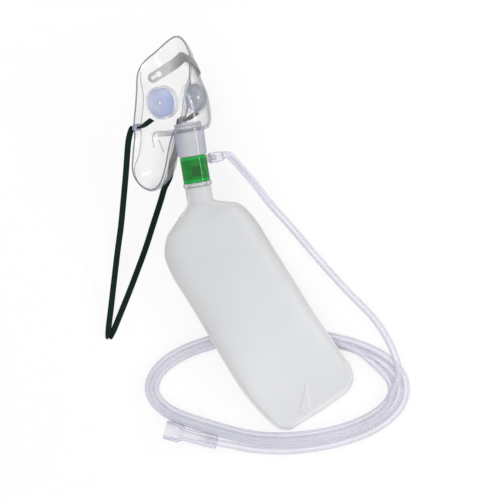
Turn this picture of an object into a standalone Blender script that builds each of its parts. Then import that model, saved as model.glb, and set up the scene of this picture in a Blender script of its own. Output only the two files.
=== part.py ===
"""An adult oxygen mask with a reservoir bag, an elastic strap and a coiled supply tube.

Everything lies flat on a table, +Z up. Sizes are in millimetres and become metres where a
mesh is made. Points on the table are measured from the table's point under the eye.
"""
import math

import bmesh
import bpy
import numpy as np
from mathutils import Matrix, Vector

MM = 0.001
CLEAR = 0.3

# How the mask lies: its port's centre, and the turns of the face about the three axes
OUTLINE_CENTRE = (-17.0, 11.5)
PORT_AT = (-50.5, 98.5, 47.8)
MASK_YAW = 57.0
MASK_LEAN = 8.3
MASK_PITCH = 16.0

# Mask shell, in the mask's own frame: x to the wearer's right, y forward, z up, port at zero
WALL = 1.3
RIM_BEAD_RADIUS = 0.9
PORT_FORWARD = 29.6
PORT_TILT = 21.0
PORT_WALL = 2.4
PORT_RIM_RADIUS = 13.2
SHELL_ROWS = 31
FLANGE_STEPS = 2
DOME_STEPS = 11
# Rows from the nose to the chin: rim height, half width and forward place, the flange's width
# and its forward step, the height and forward place of the middle line, and the roundness
MASK_ROWS = (
    (72.5, 3.0, 5.0, 0.3, 0.0, 72.9, 5.6, 2.0),
    (70.5, 8.4, 4.8, 0.3, 0.2, 70.2, 6.3, 1.9),
    (67.0, 14.6, 4.2, 0.3, 0.4, 66.8, 6.8, 1.8),
    (61.5, 22.0, 3.0, 0.4, 0.8, 62.3, 8.0, 1.6),
    (54.5, 31.0, 0.3, 0.5, 1.4, 56.5, 12.6, 1.45),
    (48.0, 35.4, -1.6, 0.8, 1.8, 51.0, 18.6, 1.4),
    (42.0, 37.0, -2.0, 2.0, 2.0, 45.0, 24.8, 1.5),
    (36.5, 37.5, -1.4, 4.0, 1.8, 39.2, 30.0, 1.62),
    (30.5, 37.8, -0.4, 7.2, 1.3, 33.2, 34.8, 1.85),
    (23.0, 37.9, 0.3, 9.6, 1.0, 26.5, 38.6, 2.1),
    (14.0, 37.8, 0.8, 10.3, 1.0, 18.0, 42.0, 2.2),
    (6.5, 37.4, 0.8, 9.9, 1.0, 10.5, 44.0, 2.2),
    (1.0, 36.4, 0.5, 9.2, 1.2, 6.2, 44.2, 2.1),
    (-1.8, 35.2, 0.2, 8.4, 1.5, 4.6, 42.4, 2.1),
    (-4.0, 33.8, -0.4, 7.9, 1.8, 2.9, 38.8, 2.1),
    (-6.0, 31.9, -1.2, 7.0, 2.4, 0.0, 29.6, 2.1),
    (-8.5, 29.8, -2.2, 5.8, 3.0, -3.6, 20.0, 2.1),
    (-11.5, 28.0, -3.0, 4.6, 3.6, -6.6, 16.6, 2.0),
    (-16.5, 26.9, -3.6, 4.2, 4.5, -12.5, 15.6, 2.0),
    (-24.0, 25.8, -4.2, 3.6, 4.5, -21.0, 15.4, 2.0),
    (-31.5, 25.0, -4.2, 2.0, 3.2, -29.0, 15.4, 2.0),
    (-37.5, 24.4, -4.0, 0.8, 2.4, -36.0, 15.0, 2.0),
    (-43.5, 22.4, -3.2, 0.5, 2.4, -42.6, 13.6, 2.0),
    (-49.5, 18.4, -1.6, 0.4, 2.0, -49.2, 10.6, 2.0),
    (-55.0, 11.6, 0.8, 0.3, 1.2, -55.2, 6.2, 2.0),
    (-58.0, 3.6, 2.4, 0.3, 0.3, -58.1, 3.4, 2.0),
)
ROW_STEP = (len(MASK_ROWS) - 1.0) / (SHELL_ROWS - 1.0)
# The rows whose middle line runs through the port's plane, and the reach of its flat
PORT_ROWS = (12.6, 16.6)
PORT_FLAT_RADII = (14.0, 20.0)
PORT_FACE_REACH = 8.0

# Cheek valves
VALVE_CENTRE = (23.4, -13.6, 22.0)
VALVE_TURN = 82.0
SEAT_RADIUS = 13.4
SEAT_PROUD = 1.4
SEAT_DEPTH = 6.0
SEAT_WALL = 1.3
SEAT_LEDGE = 0.6
SEAT_LIP = 1.5
SEAT_PLATE = 1.2
WINDOW_REACH = 9.0
STUD_RADIUS = 1.5
VENT_COUNT = 6
VENT_RADIUS = 2.2
VENT_RING = (SEAT_RADIUS - SEAT_WALL - SEAT_LEDGE + STUD_RADIUS) / 2.0
STUD_HEAD_RADIUS = 2.5
STUD_HEAD_THICK = 1.2
FLAP_RADIUS = SEAT_RADIUS - SEAT_WALL - CLEAR
FLAP_THICK = 0.9
FLAP_DOME = 1.2

# Strap lugs on the flange
LUG_CENTRE = (32.7, -28.3, -1.2)
LUG_SIZE = (8.2, 3.8, 5.0)
STRAP_WIDTH = 5.0
STRAP_THICK = 0.9
# The strap at its lug: how far ahead of it and up its tail goes, and how far behind and down
STRAP_TAIL = (
    (11.4, 9.6),
    (5.6, 4.0),
    (2.4, 1.0),
    (0.6, 0.0),
)
STRAP_BACK = (
    (0.6, 0.0),
    (2.4, 0.3),
)

# Nose clip: a soft metal strip bent over the bridge of the nose
CLIP_WIDTH = 8.6
CLIP_THICK = 0.8
CLIP_ROWS = (3.95, 6.6)
CLIP_REACH = 0.80
CLIP_LIFT = 0.6
CLIP_STATION_COUNT = 21
CLIP_STUD_INSET = 4.2
CLIP_STUD_RADIUS = 1.2
CLIP_HEAD_RADIUS = 2.0
KEYHOLE_RADIUS = 1.75
KEYHOLE_SLOT = 5.6

# Swivel connector, measured along the port's axis away from the mask
ROUND_STEPS = 40
NECK_RADIUS = 10.5
LIP_RADIUS = 11.3
LIP_HEIGHT = 4.4
CONNECTOR_TOP_RADIUS = 12.5
CONNECTOR_END_RADIUS = 11.9
CONNECTOR_END = 20.8
CONNECTOR_BORE = 9.2
SOCKET_RADIUS = 11.1
SOCKET_DEPTH = 13.4

# Gas inlet body, which joins the connector, the side tube and the bag
SPIGOT_INSET = 0.4
BODY_RADIUS = 9.6
BODY_BORE = 8.2
RING_RADIUS = 11.7
RING_TOP = 43.7
RING_THICK = 3.0
BAG_SPIGOT_RADIUS = 9.4
BAG_SPIGOT_LENGTH = 11.0
NECK_REACHES = (0.0, 4.0, 8.0)
WEB_THICK = 1.6
WEB_TOP = 10.4
WEB_HOLE_COUNT = 6
WEB_HOLE_RADIUS = 2.0
WEB_HOLE_RING = 5.0
PIN_RADIUS = 1.1
PIN_HEIGHT = 2.4
INHALE_RADIUS = 7.5
INHALE_THICK = 0.6
COLLAR_TOP = 21.9
COLLAR_RADIUS = 11.0
NOTCH_WIDTH = 7.6
NOTCH_DEPTH = 7.6
NIPPLE_AT = 25.8
NIPPLE_LIFT = -0.30
BOSS_RADIUS = 3.3
BOSS_REACH = 13.4
BARB_RADIUS = 1.9
BARB_REACH = 19.0
NIPPLE_BORE = 1.1
TUBE_SOCKET_RADIUS = 4.5
TUBE_SOCKET_START = 14.2
TUBE_SOCKET_LENGTH = 11.0

# Reservoir bag: a welded film bag, part full
BAG_START = (-33.9, 26.5)
BAG_HEADING = 31.4
BAG_FILM = 1.1
SEAM_WIDTH = 4.0
SEAM_THICK = 1.0
BAG_SIDE_STEPS = 9
# Stations along the bag: distance down its heading, near edge, far edge, the height of its
# middle plane and half its thickness
BAG_STATIONS = (
    (6.0, -47.6, 29.6, 26.5, 14.5),
    (22.0, -51.5, 32.8, 22.6, 17.0),
    (44.0, -51.7, 32.9, 19.6, 17.8),
    (66.0, -51.7, 33.2, 18.9, 17.6),
    (90.0, -52.0, 33.5, 21.6, 15.4),
    (112.0, -52.3, 33.7, 21.2, 14.0),
    (132.0, -52.3, 34.8, 18.0, 12.0),
    (152.0, -50.6, 35.6, 12.6, 9.0),
    (168.0, -47.6, 36.6, 7.6, 5.4),
    (178.0, -44.6, 34.0, 4.2, 3.0),
    (184.5, -40.6, 27.0, 2.0, 1.4),
    (188.5, -35.0, -6.0, 1.0, 0.5),
)
# Stations of the bag's neck: point on the table, height, half width and half thickness
BAG_NECK = (
    (-39.8, 41.0, 40.6, 12.6, 11.0),
    (-38.4, 36.0, 38.0, 17.0, 11.6),
    (-38.2, 30.6, 35.2, 26.0, 12.4),
    (-38.6, 25.6, 32.2, 34.5, 13.4),
)

# Elastic strap: points on the table with heights, from the near lug round to the far lug
STRAP_NEAR = (
    (-97.3, 96.2, 59.5),
    (-99.2, 88.5, 56.5),
    (-100.4, 79.0, 52.0),
    (-102.2, 62.0, 44.5),
    (-104.6, 42.0, 36.0),
    (-107.4, 20.0, 27.0),
    (-110.6, 0.0, 20.0),
    (-114.6, -28.0, 11.0),
    (-117.5, -50.0, 6.0),
    (-119.6, -66.0, 3.4),
)
STRAP_FOLD = (-119.6, -74.4, 1.8)
STRAP_FAR = (
    (-115.8, -68.6, 0.9),
    (-108.3, -50.5, 0.7),
    (-101.3, -33.0, 0.7),
    (-96.5, -20.4, 0.7),
    (-88.7, 0.8, 0.7),
    (-80.9, 25.2, 0.7),
    (-75.4, 42.3, 0.7),
    (-72.5, 52.3, 0.7),
    (-67.9, 62.0, 0.7),
    (-66.4, 72.0, 0.8),
    (-62.4, 86.0, 0.8),
    (-60.2, 99.0, 1.2),
)

# Supply tube
TUBE_RADIUS = 3.0
TUBE_POINT_STEP = 13.0
RISER_ROUTE = (
    (-5.7, 66.4, 27.0),
    (5.0, 54.0, 18.5),
    (13.7, 42.8, 12.0),
    (20.7, 34.6, 7.8),
    (29.8, 25.0, 4.6),
    (38.3, 15.2, 3.2),
    (52.0, -0.8, 3.05),
    (69.0, -20.3, 3.05),
    (86.7, -39.2, 3.05),
    (98.0, -50.4, 3.05),
    (106.5, -60.1, 3.05),
    (113.6, -70.4, 3.05),
    (118.0, -78.6, 3.05),
)
COIL_CENTRE = (21.5, -117.3)
COIL_HALF_LENGTH = 104.5
COIL_HALF_WIDTH = 45.6
COIL_STEPS = 56
COIL_AROUND_STEPS = 10
COIL_BULGE = 1.06
COIL_LIFT = 0.02
# Round the coil from its right end, anticlockwise from above: angle, the bundle's inner and
# outer edges measured out from its centre line, and its height
COIL_SECTIONS = (
    (0.0, -8.5, 8.5, 12.2),
    (45.0, -6.7, 6.7, 7.0),
    (90.0, -6.5, 6.5, 6.2),
    (135.0, -6.5, 6.5, 7.0),
    (180.0, -7.5, 7.5, 12.2),
    (205.0, -6.2, 5.2, 12.2),
    (215.0, -6.2, 0.8, 12.2),
    (221.0, -7.2, -1.2, 12.2),
    (235.0, -8.6, -2.6, 12.2),
    (242.0, -8.6, -2.0, 12.2),
    (249.0, -8.3, 1.2, 12.2),
    (255.0, -8.3, 1.9, 12.2),
    (270.0, -8.5, 3.4, 12.2),
    (277.0, -8.5, 8.5, 12.2),
    (320.0, -8.5, 8.5, 12.2),
)

# Supply connector on the tube's far end
CONNECTOR_AT = (-71.4, -151.4, 8.8)
CONNECTOR_TOWARDS = (-25.7, -163.2, 6.2)
FUNNEL_RADIUS = 7.9
FUNNEL_LENGTH = 14.6
MIDDLE_RADIUS = 5.2
MIDDLE_LENGTH = 14.2
GRIP_RADIUS = 4.9
GRIP_LENGTH = 16.0
GRIP_RIB_COUNT = 8
SUPPLY_BORE = 3.6
TAIL_ROUTE = (
    (-15.0, -165.2, 4.0),
    (2.0, -168.6, 3.05),
    (16.0, -170.2, 3.05),
)


def clear_scene():
    """Remove whatever the file starts with."""
    for item in list(bpy.data.objects):
        bpy.data.objects.remove(item, do_unlink=True)


def new_collection(name):
    group = bpy.data.collections.new(name)
    bpy.context.scene.collection.children.link(group)
    return group


def new_material(name, colour, roughness, metallic=0.0, alpha=1.0):
    """A plain finish with the piece's colour."""
    finish = bpy.data.materials.new(name)
    finish.use_nodes = True
    shader = finish.node_tree.nodes["Principled BSDF"]
    shader.inputs["Base Color"].default_value = (*colour, 1.0)
    shader.inputs["Roughness"].default_value = roughness
    shader.inputs["Metallic"].default_value = metallic
    shader.inputs["Alpha"].default_value = alpha
    return finish


def on_table(x, y, z):
    """A point given from under the eye, in the part's own frame."""
    return Vector((x - OUTLINE_CENTRE[0], y - OUTLINE_CENTRE[1], z))


def mask_directions():
    """The wearer's right, the front and the crown as directions on the table."""
    yaw = math.radians(MASK_YAW)
    lean = math.radians(MASK_LEAN)
    pitch = Matrix.Rotation(math.radians(MASK_PITCH), 3, "X")
    crown = pitch @ Vector((math.sin(lean), math.cos(lean), 0.0))
    front = pitch @ Vector(
        (math.sin(yaw) * math.cos(lean), -math.sin(yaw) * math.sin(lean), math.cos(yaw))
    )
    return front.cross(crown), front, crown


def placed_empty(name, group, origin, x_axis, y_axis, z_axis):
    """An empty with the given axes, which carries the pieces of one frame."""
    empty = bpy.data.objects.new(name, None)
    group.objects.link(empty)
    turn = Matrix((x_axis, y_axis, z_axis)).transposed().to_4x4()
    empty.matrix_world = Matrix.Translation(origin * MM) @ turn
    return empty


def add_object(name, mesh, group, parent=None, finish=None, local=None):
    """Link a mesh or curve as an object under its parent."""
    item = bpy.data.objects.new(name, mesh)
    group.objects.link(item)
    if parent:
        item.parent = parent
    if local:
        item.matrix_local = local
    if finish:
        item.data.materials.append(finish)
    return item


def mesh_from_points(name, points, faces):
    mesh = bpy.data.meshes.new(name)
    mesh.from_pydata([Vector(p) * MM for p in points], [], faces)
    mesh.update()
    return mesh


def local_frame(origin, z_axis, x_hint=Vector((0.0, 0.0, 1.0))):
    """A placement in millimetres' frame with its z along z_axis and x near x_hint."""
    z_axis = Vector(z_axis).normalized()
    y_axis = z_axis.cross(x_hint).normalized()
    x_axis = y_axis.cross(z_axis)
    turn = Matrix((x_axis, y_axis, z_axis)).transposed().to_4x4()
    return Matrix.Translation(Vector(origin) * MM) @ turn


def rod(name, group, parent, frame, radius, low, high, steps=24, end_radius=None):
    """A round rod or cone along a frame's z from low to high."""
    work = bmesh.new()
    bmesh.ops.create_cone(
        work,
        cap_ends=True,
        segments=steps,
        radius1=radius * MM,
        radius2=(radius if end_radius is None else end_radius) * MM,
        depth=(high - low) * MM,
    )
    bmesh.ops.translate(work, verts=work.verts, vec=(0.0, 0.0, (low + high) / 2.0 * MM))
    mesh = bpy.data.meshes.new(name)
    work.to_mesh(mesh)
    work.free()
    return add_object(name, mesh, group, parent, local=frame)


def block(name, group, parent, frame, size, centre=(0.0, 0.0, 0.0)):
    """A box of a given size in a frame."""
    work = bmesh.new()
    bmesh.ops.create_cube(work, size=1.0)
    bmesh.ops.scale(work, verts=work.verts, vec=Vector(size) * MM)
    bmesh.ops.translate(work, verts=work.verts, vec=Vector(centre) * MM)
    mesh = bpy.data.meshes.new(name)
    work.to_mesh(mesh)
    work.free()
    return add_object(name, mesh, group, parent, local=frame)


def turned(name, group, parent, frame, profile, finish=None, steps=ROUND_STEPS):
    """A closed profile of radius and height turned about a frame's z axis."""
    points = [(r, 0.0, z) for r, z in profile]
    closed = len(points) if min(r for r, _ in profile) > 0.0 else len(points) - 1
    edges = [(i, (i + 1) % len(points)) for i in range(closed)]
    mesh = bpy.data.meshes.new(name)
    mesh.from_pydata([Vector(p) * MM for p in points], edges, [])
    item = add_object(name, mesh, group, parent, finish, frame)
    screw = item.modifiers.new("turn", "SCREW")
    screw.steps = steps
    screw.render_steps = steps
    screw.use_merge_vertices = True
    screw.merge_threshold = 0.00001
    screw.use_smooth_shade = True
    return item


def boolean(item, operation, tool):
    """Join or cut with an exact Boolean and keep the tool as a guide."""
    step = item.modifiers.new(tool.name, "BOOLEAN")
    step.operation = operation
    step.solver = "EXACT"
    step.object = tool
    tool.hide_render = True
    tool.display_type = "WIRE"


def table_row(rows, place):
    """One row between the table's own rows, by a monotone cubic."""
    rows = np.asarray(rows, dtype=float)
    low = int(min(max(math.floor(place), 0), len(rows) - 2))
    part = place - low
    steps = np.diff(rows, axis=0)

    def slope(i):
        if i == 0:
            return steps[0]
        if i == len(rows) - 1:
            return steps[-1]
        before, after = steps[i - 1], steps[i]
        same = before * after > 0.0
        mean = np.where(same, 2.0 * before * after / np.where(same, before + after, 1.0), 0.0)
        return mean

    square, cube = part * part, part**3
    return (
        (2 * cube - 3 * square + 1) * rows[low]
        + (cube - 2 * square + part) * slope(low)
        + (3 * square - 2 * cube) * rows[low + 1]
        + (cube - square) * slope(low + 1)
    )


def smooth_route(points, step):
    """Points every few millimetres on one smooth curve through the route's points."""
    route = [Vector(p) for p in points]
    ends = [2 * route[0] - route[1], *route, 2 * route[-1] - route[-2]]
    found = []
    for i in range(1, len(ends) - 2):
        before, start, end, after = ends[i - 1], ends[i], ends[i + 1], ends[i + 2]
        pieces = max(1, round((end - start).length / step))
        for k in range(pieces):
            t = k / pieces
            found.append(
                0.5
                * (
                    2 * start
                    + (end - before) * t
                    + (2 * before - 5 * start + 4 * end - after) * t * t
                    + (3 * start - before - 3 * end + after) * t**3
                )
            )
    found.append(route[-1])
    return found


def port_plane(y):
    """Height of the port's plane at a forward place."""
    return (y - PORT_FORWARD) * math.tan(math.radians(PORT_TILT))


def shell_point(place, across):
    """A point of the shell's inner face.

    place is the row, and across runs from 0 at the flange's foot to 1 on the middle line;
    below 0 it runs out over the flange to its rim at -1.
    """
    z_rim, width, y_rim, flange, step, z_mid, y_mid, roundness = table_row(MASK_ROWS, place)
    foot_x = width - flange
    foot_y = y_rim + step
    if across <= 0.0:
        return Vector((foot_x - flange * across, foot_y + step * across - PORT_FORWARD, z_rim))
    turn = across * math.pi / 2.0
    power = 2.0 / roundness
    x = foot_x * max(math.cos(turn), 0.0) ** power if across < 1.0 else 0.0
    forward = math.sin(turn) ** power
    y = foot_y + (y_mid - foot_y) * forward
    z = z_rim + (z_mid - z_rim) * forward
    if PORT_ROWS[0] <= place <= PORT_ROWS[1]:
        reach = math.hypot(x, y - PORT_FORWARD)
        inner, outer = PORT_FLAT_RADII
        weight = min(max((outer - reach) / (outer - inner), 0.0), 1.0)
        edge = min(place - PORT_ROWS[0], PORT_ROWS[1] - place, 0.5) / 0.5
        weight = weight * weight * (3.0 - 2.0 * weight) * edge
        z += (port_plane(y) - z) * weight
    return Vector((x, y - PORT_FORWARD, z))


def shell_normal(place, across, side=1.0):
    """The shell's outward direction at a point."""
    small = 0.02
    along = shell_point(place + small, across) - shell_point(place - small, across)
    over = shell_point(place, min(across + small, 1.0)) - shell_point(place, across - small)
    normal = along.cross(over).normalized()
    return Vector((normal.x * side, normal.y, normal.z))


def shell_columns():
    """The places across a row where the sheet has its points."""
    flange = [-1.0 + i / FLANGE_STEPS for i in range(FLANGE_STEPS)]
    return flange + [(i / DOME_STEPS) ** 1.1 for i in range(DOME_STEPS + 1)]


def facet_point(place, across):
    """A point of the sheet's flat facets."""
    columns = shell_columns()
    column = min(max(int(np.searchsorted(columns, across)) - 1, 0), len(columns) - 2)
    low, high = columns[column], columns[column + 1]
    share = (across - low) / (high - low)
    row = min(int(place / ROW_STEP), SHELL_ROWS - 2)
    down = place / ROW_STEP - row
    above = shell_point(row * ROW_STEP, low).lerp(shell_point(row * ROW_STEP, high), share)
    row += 1
    below = shell_point(row * ROW_STEP, low).lerp(shell_point(row * ROW_STEP, high), share)
    return above.lerp(below, down)


def shell_half():
    """The near half of the shell's face as an open sheet, mirrored by a modifier."""
    across = shell_columns()
    points = []
    for row in range(SHELL_ROWS):
        points += [shell_point(row * ROW_STEP, value) for value in across]
    wide = len(across)
    faces = []
    for row in range(SHELL_ROWS - 1):
        for column in range(wide - 1):
            a = row * wide + column
            faces.append((a, a + 1, a + wide + 1, a + wide))
    mesh = mesh_from_points("mask_shell", points, faces)
    work = bmesh.new()
    work.from_mesh(mesh)
    bmesh.ops.remove_doubles(work, verts=work.verts, dist=0.05 * MM)
    bmesh.ops.dissolve_degenerate(work, edges=work.edges, dist=0.01 * MM)
    work.to_mesh(mesh)
    work.free()
    return mesh


def rim_bead(group, parent):
    """The rolled edge round the shell, as a closed tube."""
    last = len(MASK_ROWS) - 1.0
    count = 30
    near = [shell_point(last * i / (count - 1.0), -1.0) for i in range(count)]
    loop = near + [Vector((-p.x, p.y, p.z)) for p in reversed(near)]
    curve = bpy.data.curves.new("rim_bead", "CURVE")
    curve.dimensions = "3D"
    curve.bevel_depth = RIM_BEAD_RADIUS * MM
    curve.bevel_resolution = 1
    spline = curve.splines.new("POLY")
    spline.points.add(len(loop) - 1)
    for item, point in zip(spline.points, loop):
        item.co = (*(point * MM), 1.0)
    spline.use_cyclic_u = True
    return curve_as_mesh("rim_bead", curve, group, parent)


def curve_as_mesh(name, curve, group, parent, local=None):
    """Turn a curve into a closed mesh with its caps welded."""
    guide = bpy.data.objects.new(name + "_curve", curve)
    group.objects.link(guide)
    bpy.context.view_layer.update()
    seen = guide.evaluated_get(bpy.context.evaluated_depsgraph_get())
    mesh = bpy.data.meshes.new_from_object(seen)
    bpy.data.objects.remove(guide, do_unlink=True)
    work = bmesh.new()
    work.from_mesh(mesh)
    bmesh.ops.remove_doubles(work, verts=work.verts, dist=0.001 * MM)
    bmesh.ops.recalc_face_normals(work, faces=work.faces)
    work.to_mesh(mesh)
    work.free()
    mesh.name = name
    return add_object(name, mesh, group, parent, local=local)


def valve_frame(side):
    """The cheek valve's placement, with z out of the cheek."""
    x, y, z = VALVE_CENTRE
    turn = math.radians(VALVE_TURN)
    outward = Vector((side * math.sin(turn), math.cos(turn), 0.0))
    return local_frame((side * x, y, z), outward)


def mask_shell(parts, cutters, parent, finish):
    """The clear moulding: face, flange, rolled rim, valve seats, lugs, studs and port."""
    shell = add_object("mask_shell", shell_half(), parts, parent, finish)
    mirror = shell.modifiers.new("both_sides", "MIRROR")
    mirror.use_axis = (True, False, False)
    mirror.merge_threshold = 0.00001
    wall = shell.modifiers.new("wall", "SOLIDIFY")
    wall.thickness = WALL * MM
    wall.offset = -1.0
    wall.use_even_offset = True
    wall.use_quality_normals = True
    boolean(shell, "UNION", rim_bead(cutters, parent))
    for side, word in ((1.0, "right"), (-1.0, "left")):
        frame = valve_frame(side)
        window = SEAT_RADIUS - SEAT_WALL / 2.0
        low = SEAT_PROUD - SEAT_DEPTH
        opening = rod("window_" + word, cutters, parent, frame, window, low - 2.0, WINDOW_REACH, 30)
        boolean(shell, "DIFFERENCE", opening)
        boolean(shell, "UNION", valve_seat("seat_" + word, cutters, parent, frame))
        lug_frame = lug_placement(side)
        slot = (STRAP_WIDTH + 2 * CLEAR, LUG_SIZE[1] * 3.0, STRAP_THICK + 2 * CLEAR)
        wide_slot = (slot[0] + CLEAR, slot[1], slot[2] + CLEAR)
        way = block("way_" + word, cutters, parent, lug_frame, wide_slot)
        boolean(shell, "DIFFERENCE", way)
        lug = block("lug_" + word, cutters, parent, lug_frame, LUG_SIZE)
        boolean(lug, "DIFFERENCE", block("slot_" + word, cutters, parent, lug_frame, slot))
        boolean(shell, "UNION", lug)
        boolean(shell, "UNION", clip_stud("clip_stud_" + word, cutters, parent, side))
    port = local_frame((0.0, 0.0, 0.0), port_axis_local())
    half = PORT_WALL / 2.0
    boolean(shell, "UNION", rod("port_rim", cutters, parent, port, PORT_RIM_RADIUS, -half, half, 40))
    face = CONNECTOR_TOP_RADIUS + CLEAR
    clear_face = rod("port_face", cutters, parent, port, face, half, half + PORT_FACE_REACH, 40)
    boolean(shell, "DIFFERENCE", clear_face)
    bore = NECK_RADIUS + CLEAR
    boolean(shell, "DIFFERENCE", rod("port_bore", cutters, parent, port, bore, -6.0, 6.0, 40))
    return shell


def port_axis_local():
    """The port's axis in the mask's frame, out of the mask."""
    tilt = math.radians(PORT_TILT)
    return Vector((0.0, math.sin(tilt), -math.cos(tilt)))


def lug_placement(side):
    """A strap lug's placement on the flange, with its slot's length across."""
    x, y, z = LUG_CENTRE
    return Matrix.Translation(Vector((side * x, y, z)) * MM)


def valve_seat(name, group, parent, frame):
    """A cheek's drilled plate in its round frame, with the post and head that hold the flap."""
    head = SEAT_PROUD + CLEAR + FLAP_DOME + FLAP_THICK + CLEAR
    plate_low = SEAT_PROUD - SEAT_PLATE
    ring = SEAT_RADIUS - SEAT_WALL
    profile = (
        (0.0, head + STUD_HEAD_THICK),
        (STUD_HEAD_RADIUS * 0.75, head + STUD_HEAD_THICK * 0.75),
        (STUD_HEAD_RADIUS, head),
        (STUD_RADIUS, head),
        (STUD_RADIUS, SEAT_PROUD),
        (ring, SEAT_PROUD),
        (ring, SEAT_PROUD + SEAT_LIP),
        (SEAT_RADIUS, SEAT_PROUD + SEAT_LIP),
        (SEAT_RADIUS, SEAT_PROUD - SEAT_DEPTH),
        (ring - SEAT_LEDGE, SEAT_PROUD - SEAT_DEPTH),
        (ring - SEAT_LEDGE, plate_low),
        (0.0, plate_low),
    )
    seat = turned(name, group, parent, frame, profile, steps=30)
    for i in range(VENT_COUNT):
        turn = Matrix.Rotation(2.0 * math.pi * (i + 0.5) / VENT_COUNT, 4, "Z")
        place = frame @ turn @ Matrix.Translation((VENT_RING * MM, 0.0, 0.0))
        vent = rod(
            "%s_vent_%d" % (name, i + 1), group, parent, place, VENT_RADIUS,
            plate_low - 1.0, SEAT_PROUD + 1.0, 10,
        )
        boolean(seat, "DIFFERENCE", vent)
    return seat


def valve_flap(name, parts, parent, side, finish):
    """A soft disc that lies on its seat's rim and is held at the middle."""
    base = SEAT_PROUD + CLEAR
    hole = STUD_RADIUS + CLEAR
    shape = (
        (0.0, 1.0),
        (0.35, 0.92),
        (0.7, 0.55),
        (1.0, 0.0),
    )
    span = FLAP_RADIUS - hole
    under = [(hole + span * r, base + FLAP_DOME * rise) for r, rise in shape]
    profile = [(r, z + FLAP_THICK) for r, z in under] + list(reversed(under))
    return turned(name, parts, parent, valve_frame(side), profile, finish, 32)


def clip_path(share, side=1.0):
    """A point of the nose clip's middle line, its outward direction and its width direction."""
    start, end = CLIP_ROWS
    reach = 1.0 - CLIP_REACH * abs(share)
    place = start + (end - start) * abs(share) ** 1.3
    point = facet_point(place, reach)
    normal = shell_normal(place, reach)
    point = point + normal * (WALL + CLIP_LIFT + CLIP_THICK / 2.0)
    if share * side < 0.0:
        point.x = -point.x
        normal.x = -normal.x
    return point, normal


def clip_length_table():
    """Shares of the half strip with their lengths from the middle."""
    count = 60
    shares = [i / count for i in range(count + 1)]
    points = [clip_path(share)[0] for share in shares]
    lengths = [0.0]
    for before, after in zip(points, points[1:]):
        lengths.append(lengths[-1] + (after - before).length)
    return shares, lengths


def clip_station(distance):
    """Point, outward and along directions at a distance from the clip's middle."""
    shares, lengths = clip_length_table()
    share = float(np.interp(abs(distance), lengths, shares))
    sign = -1.0 if distance < 0.0 else 1.0
    small = 0.02
    point, outward = clip_path(sign * share)
    before = clip_path(sign * max(share - small, 0.0))[0]
    after = clip_path(sign * min(share + small, 1.0))[0]
    along = (after - before).normalized()
    outward = (outward - along * outward.dot(along)).normalized()
    return point, outward, along


def clip_stud_frame(side):
    """Where the shell's stud comes through the clip's keyhole."""
    half = clip_length_table()[1][-1]
    point, outward, along = clip_station(side * (half - CLIP_STUD_INSET))
    return local_frame(point, outward, along)


def clip_stud(name, group, parent, side):
    """The stud that holds one end of the nose clip."""
    top = CLIP_THICK / 2.0 + CLEAR
    profile = (
        (0.0, top + 1.0),
        (CLIP_HEAD_RADIUS * 0.7, top + 0.8),
        (CLIP_HEAD_RADIUS, top),
        (CLIP_STUD_RADIUS, top),
        (CLIP_STUD_RADIUS, -CLIP_THICK / 2.0 - CLIP_LIFT - WALL * 0.6),
        (0.0, -CLIP_THICK / 2.0 - CLIP_LIFT - WALL * 0.6),
    )
    return turned(name, group, parent, clip_stud_frame(side), profile, steps=16)


def nose_clip(parts, cutters, parent, finish):
    """The soft metal strip with round ends, bent over the nose, with a keyhole at each end."""
    half = clip_length_table()[1][-1]
    round_end = CLIP_WIDTH / 2.0
    places = [half * i / (CLIP_STATION_COUNT // 2) for i in range(CLIP_STATION_COUNT // 2)]
    places = [p for p in places if p < half - round_end]
    places += [half - round_end * (1.0 - math.sin(a * math.pi / 10.0)) for a in range(5)]
    places.append(half - 0.03)
    stations = [-p for p in reversed(places[1:])] + places
    points = []
    for distance in stations:
        point, outward, along = clip_station(distance)
        if distance < 0.0:
            along = -along
        wide = outward.cross(along).normalized()
        past = max(abs(distance) - (half - round_end), 0.0)
        reach = math.sqrt(max(round_end**2 - past**2, 0.02))
        for level, edge in ((-1, -1), (1, -1), (1, 1), (-1, 1)):
            points.append(point + wide * reach * edge + outward * (CLIP_THICK / 2.0) * level)
    mesh = mesh_from_points("nose_clip", points, ring_faces(len(stations), 4))
    clip = add_object("nose_clip", mesh, parts, parent, finish)
    fix_normals(mesh)
    for side, word in ((1.0, "right"), (-1.0, "left")):
        frame = clip_stud_frame(side)
        name = "keyhole_" + word
        boolean(clip, "DIFFERENCE", rod(name, cutters, parent, frame, KEYHOLE_RADIUS, -3.0, 3.0, 14))
        slot = Matrix.Translation((-KEYHOLE_SLOT / 2.0 * MM, 0.0, 0.0))
        size = (KEYHOLE_SLOT, KEYHOLE_RADIUS * 1.1, 6.0)
        name = "keyslot_" + word
        boolean(clip, "DIFFERENCE", block(name, cutters, parent, frame @ slot, size))
        wide = Matrix.Translation((-KEYHOLE_SLOT * MM, 0.0, 0.0))
        name = "keyround_" + word
        round_radius = CLIP_HEAD_RADIUS + CLEAR
        boolean(
            clip, "DIFFERENCE", rod(name, cutters, parent, frame @ wide, round_radius, -3.0, 3.0, 14)
        )
    return clip


def ring_faces(rings, around, closed=False):
    """Faces of a tube of rings, with its ends capped or joined."""
    faces = []
    count = rings if closed else rings - 1
    for ring in range(count):
        here, there = ring * around, (ring + 1) % rings * around
        for k in range(around):
            after = (k + 1) % around
            faces.append((here + k, here + after, there + after, there + k))
    if not closed:
        faces.append(tuple(reversed(range(around))))
        faces.append(tuple((rings - 1) * around + k for k in range(around)))
    return faces


def fix_normals(mesh):
    work = bmesh.new()
    work.from_mesh(mesh)
    bmesh.ops.recalc_face_normals(work, faces=work.faces)
    work.to_mesh(mesh)
    work.free()


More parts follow.
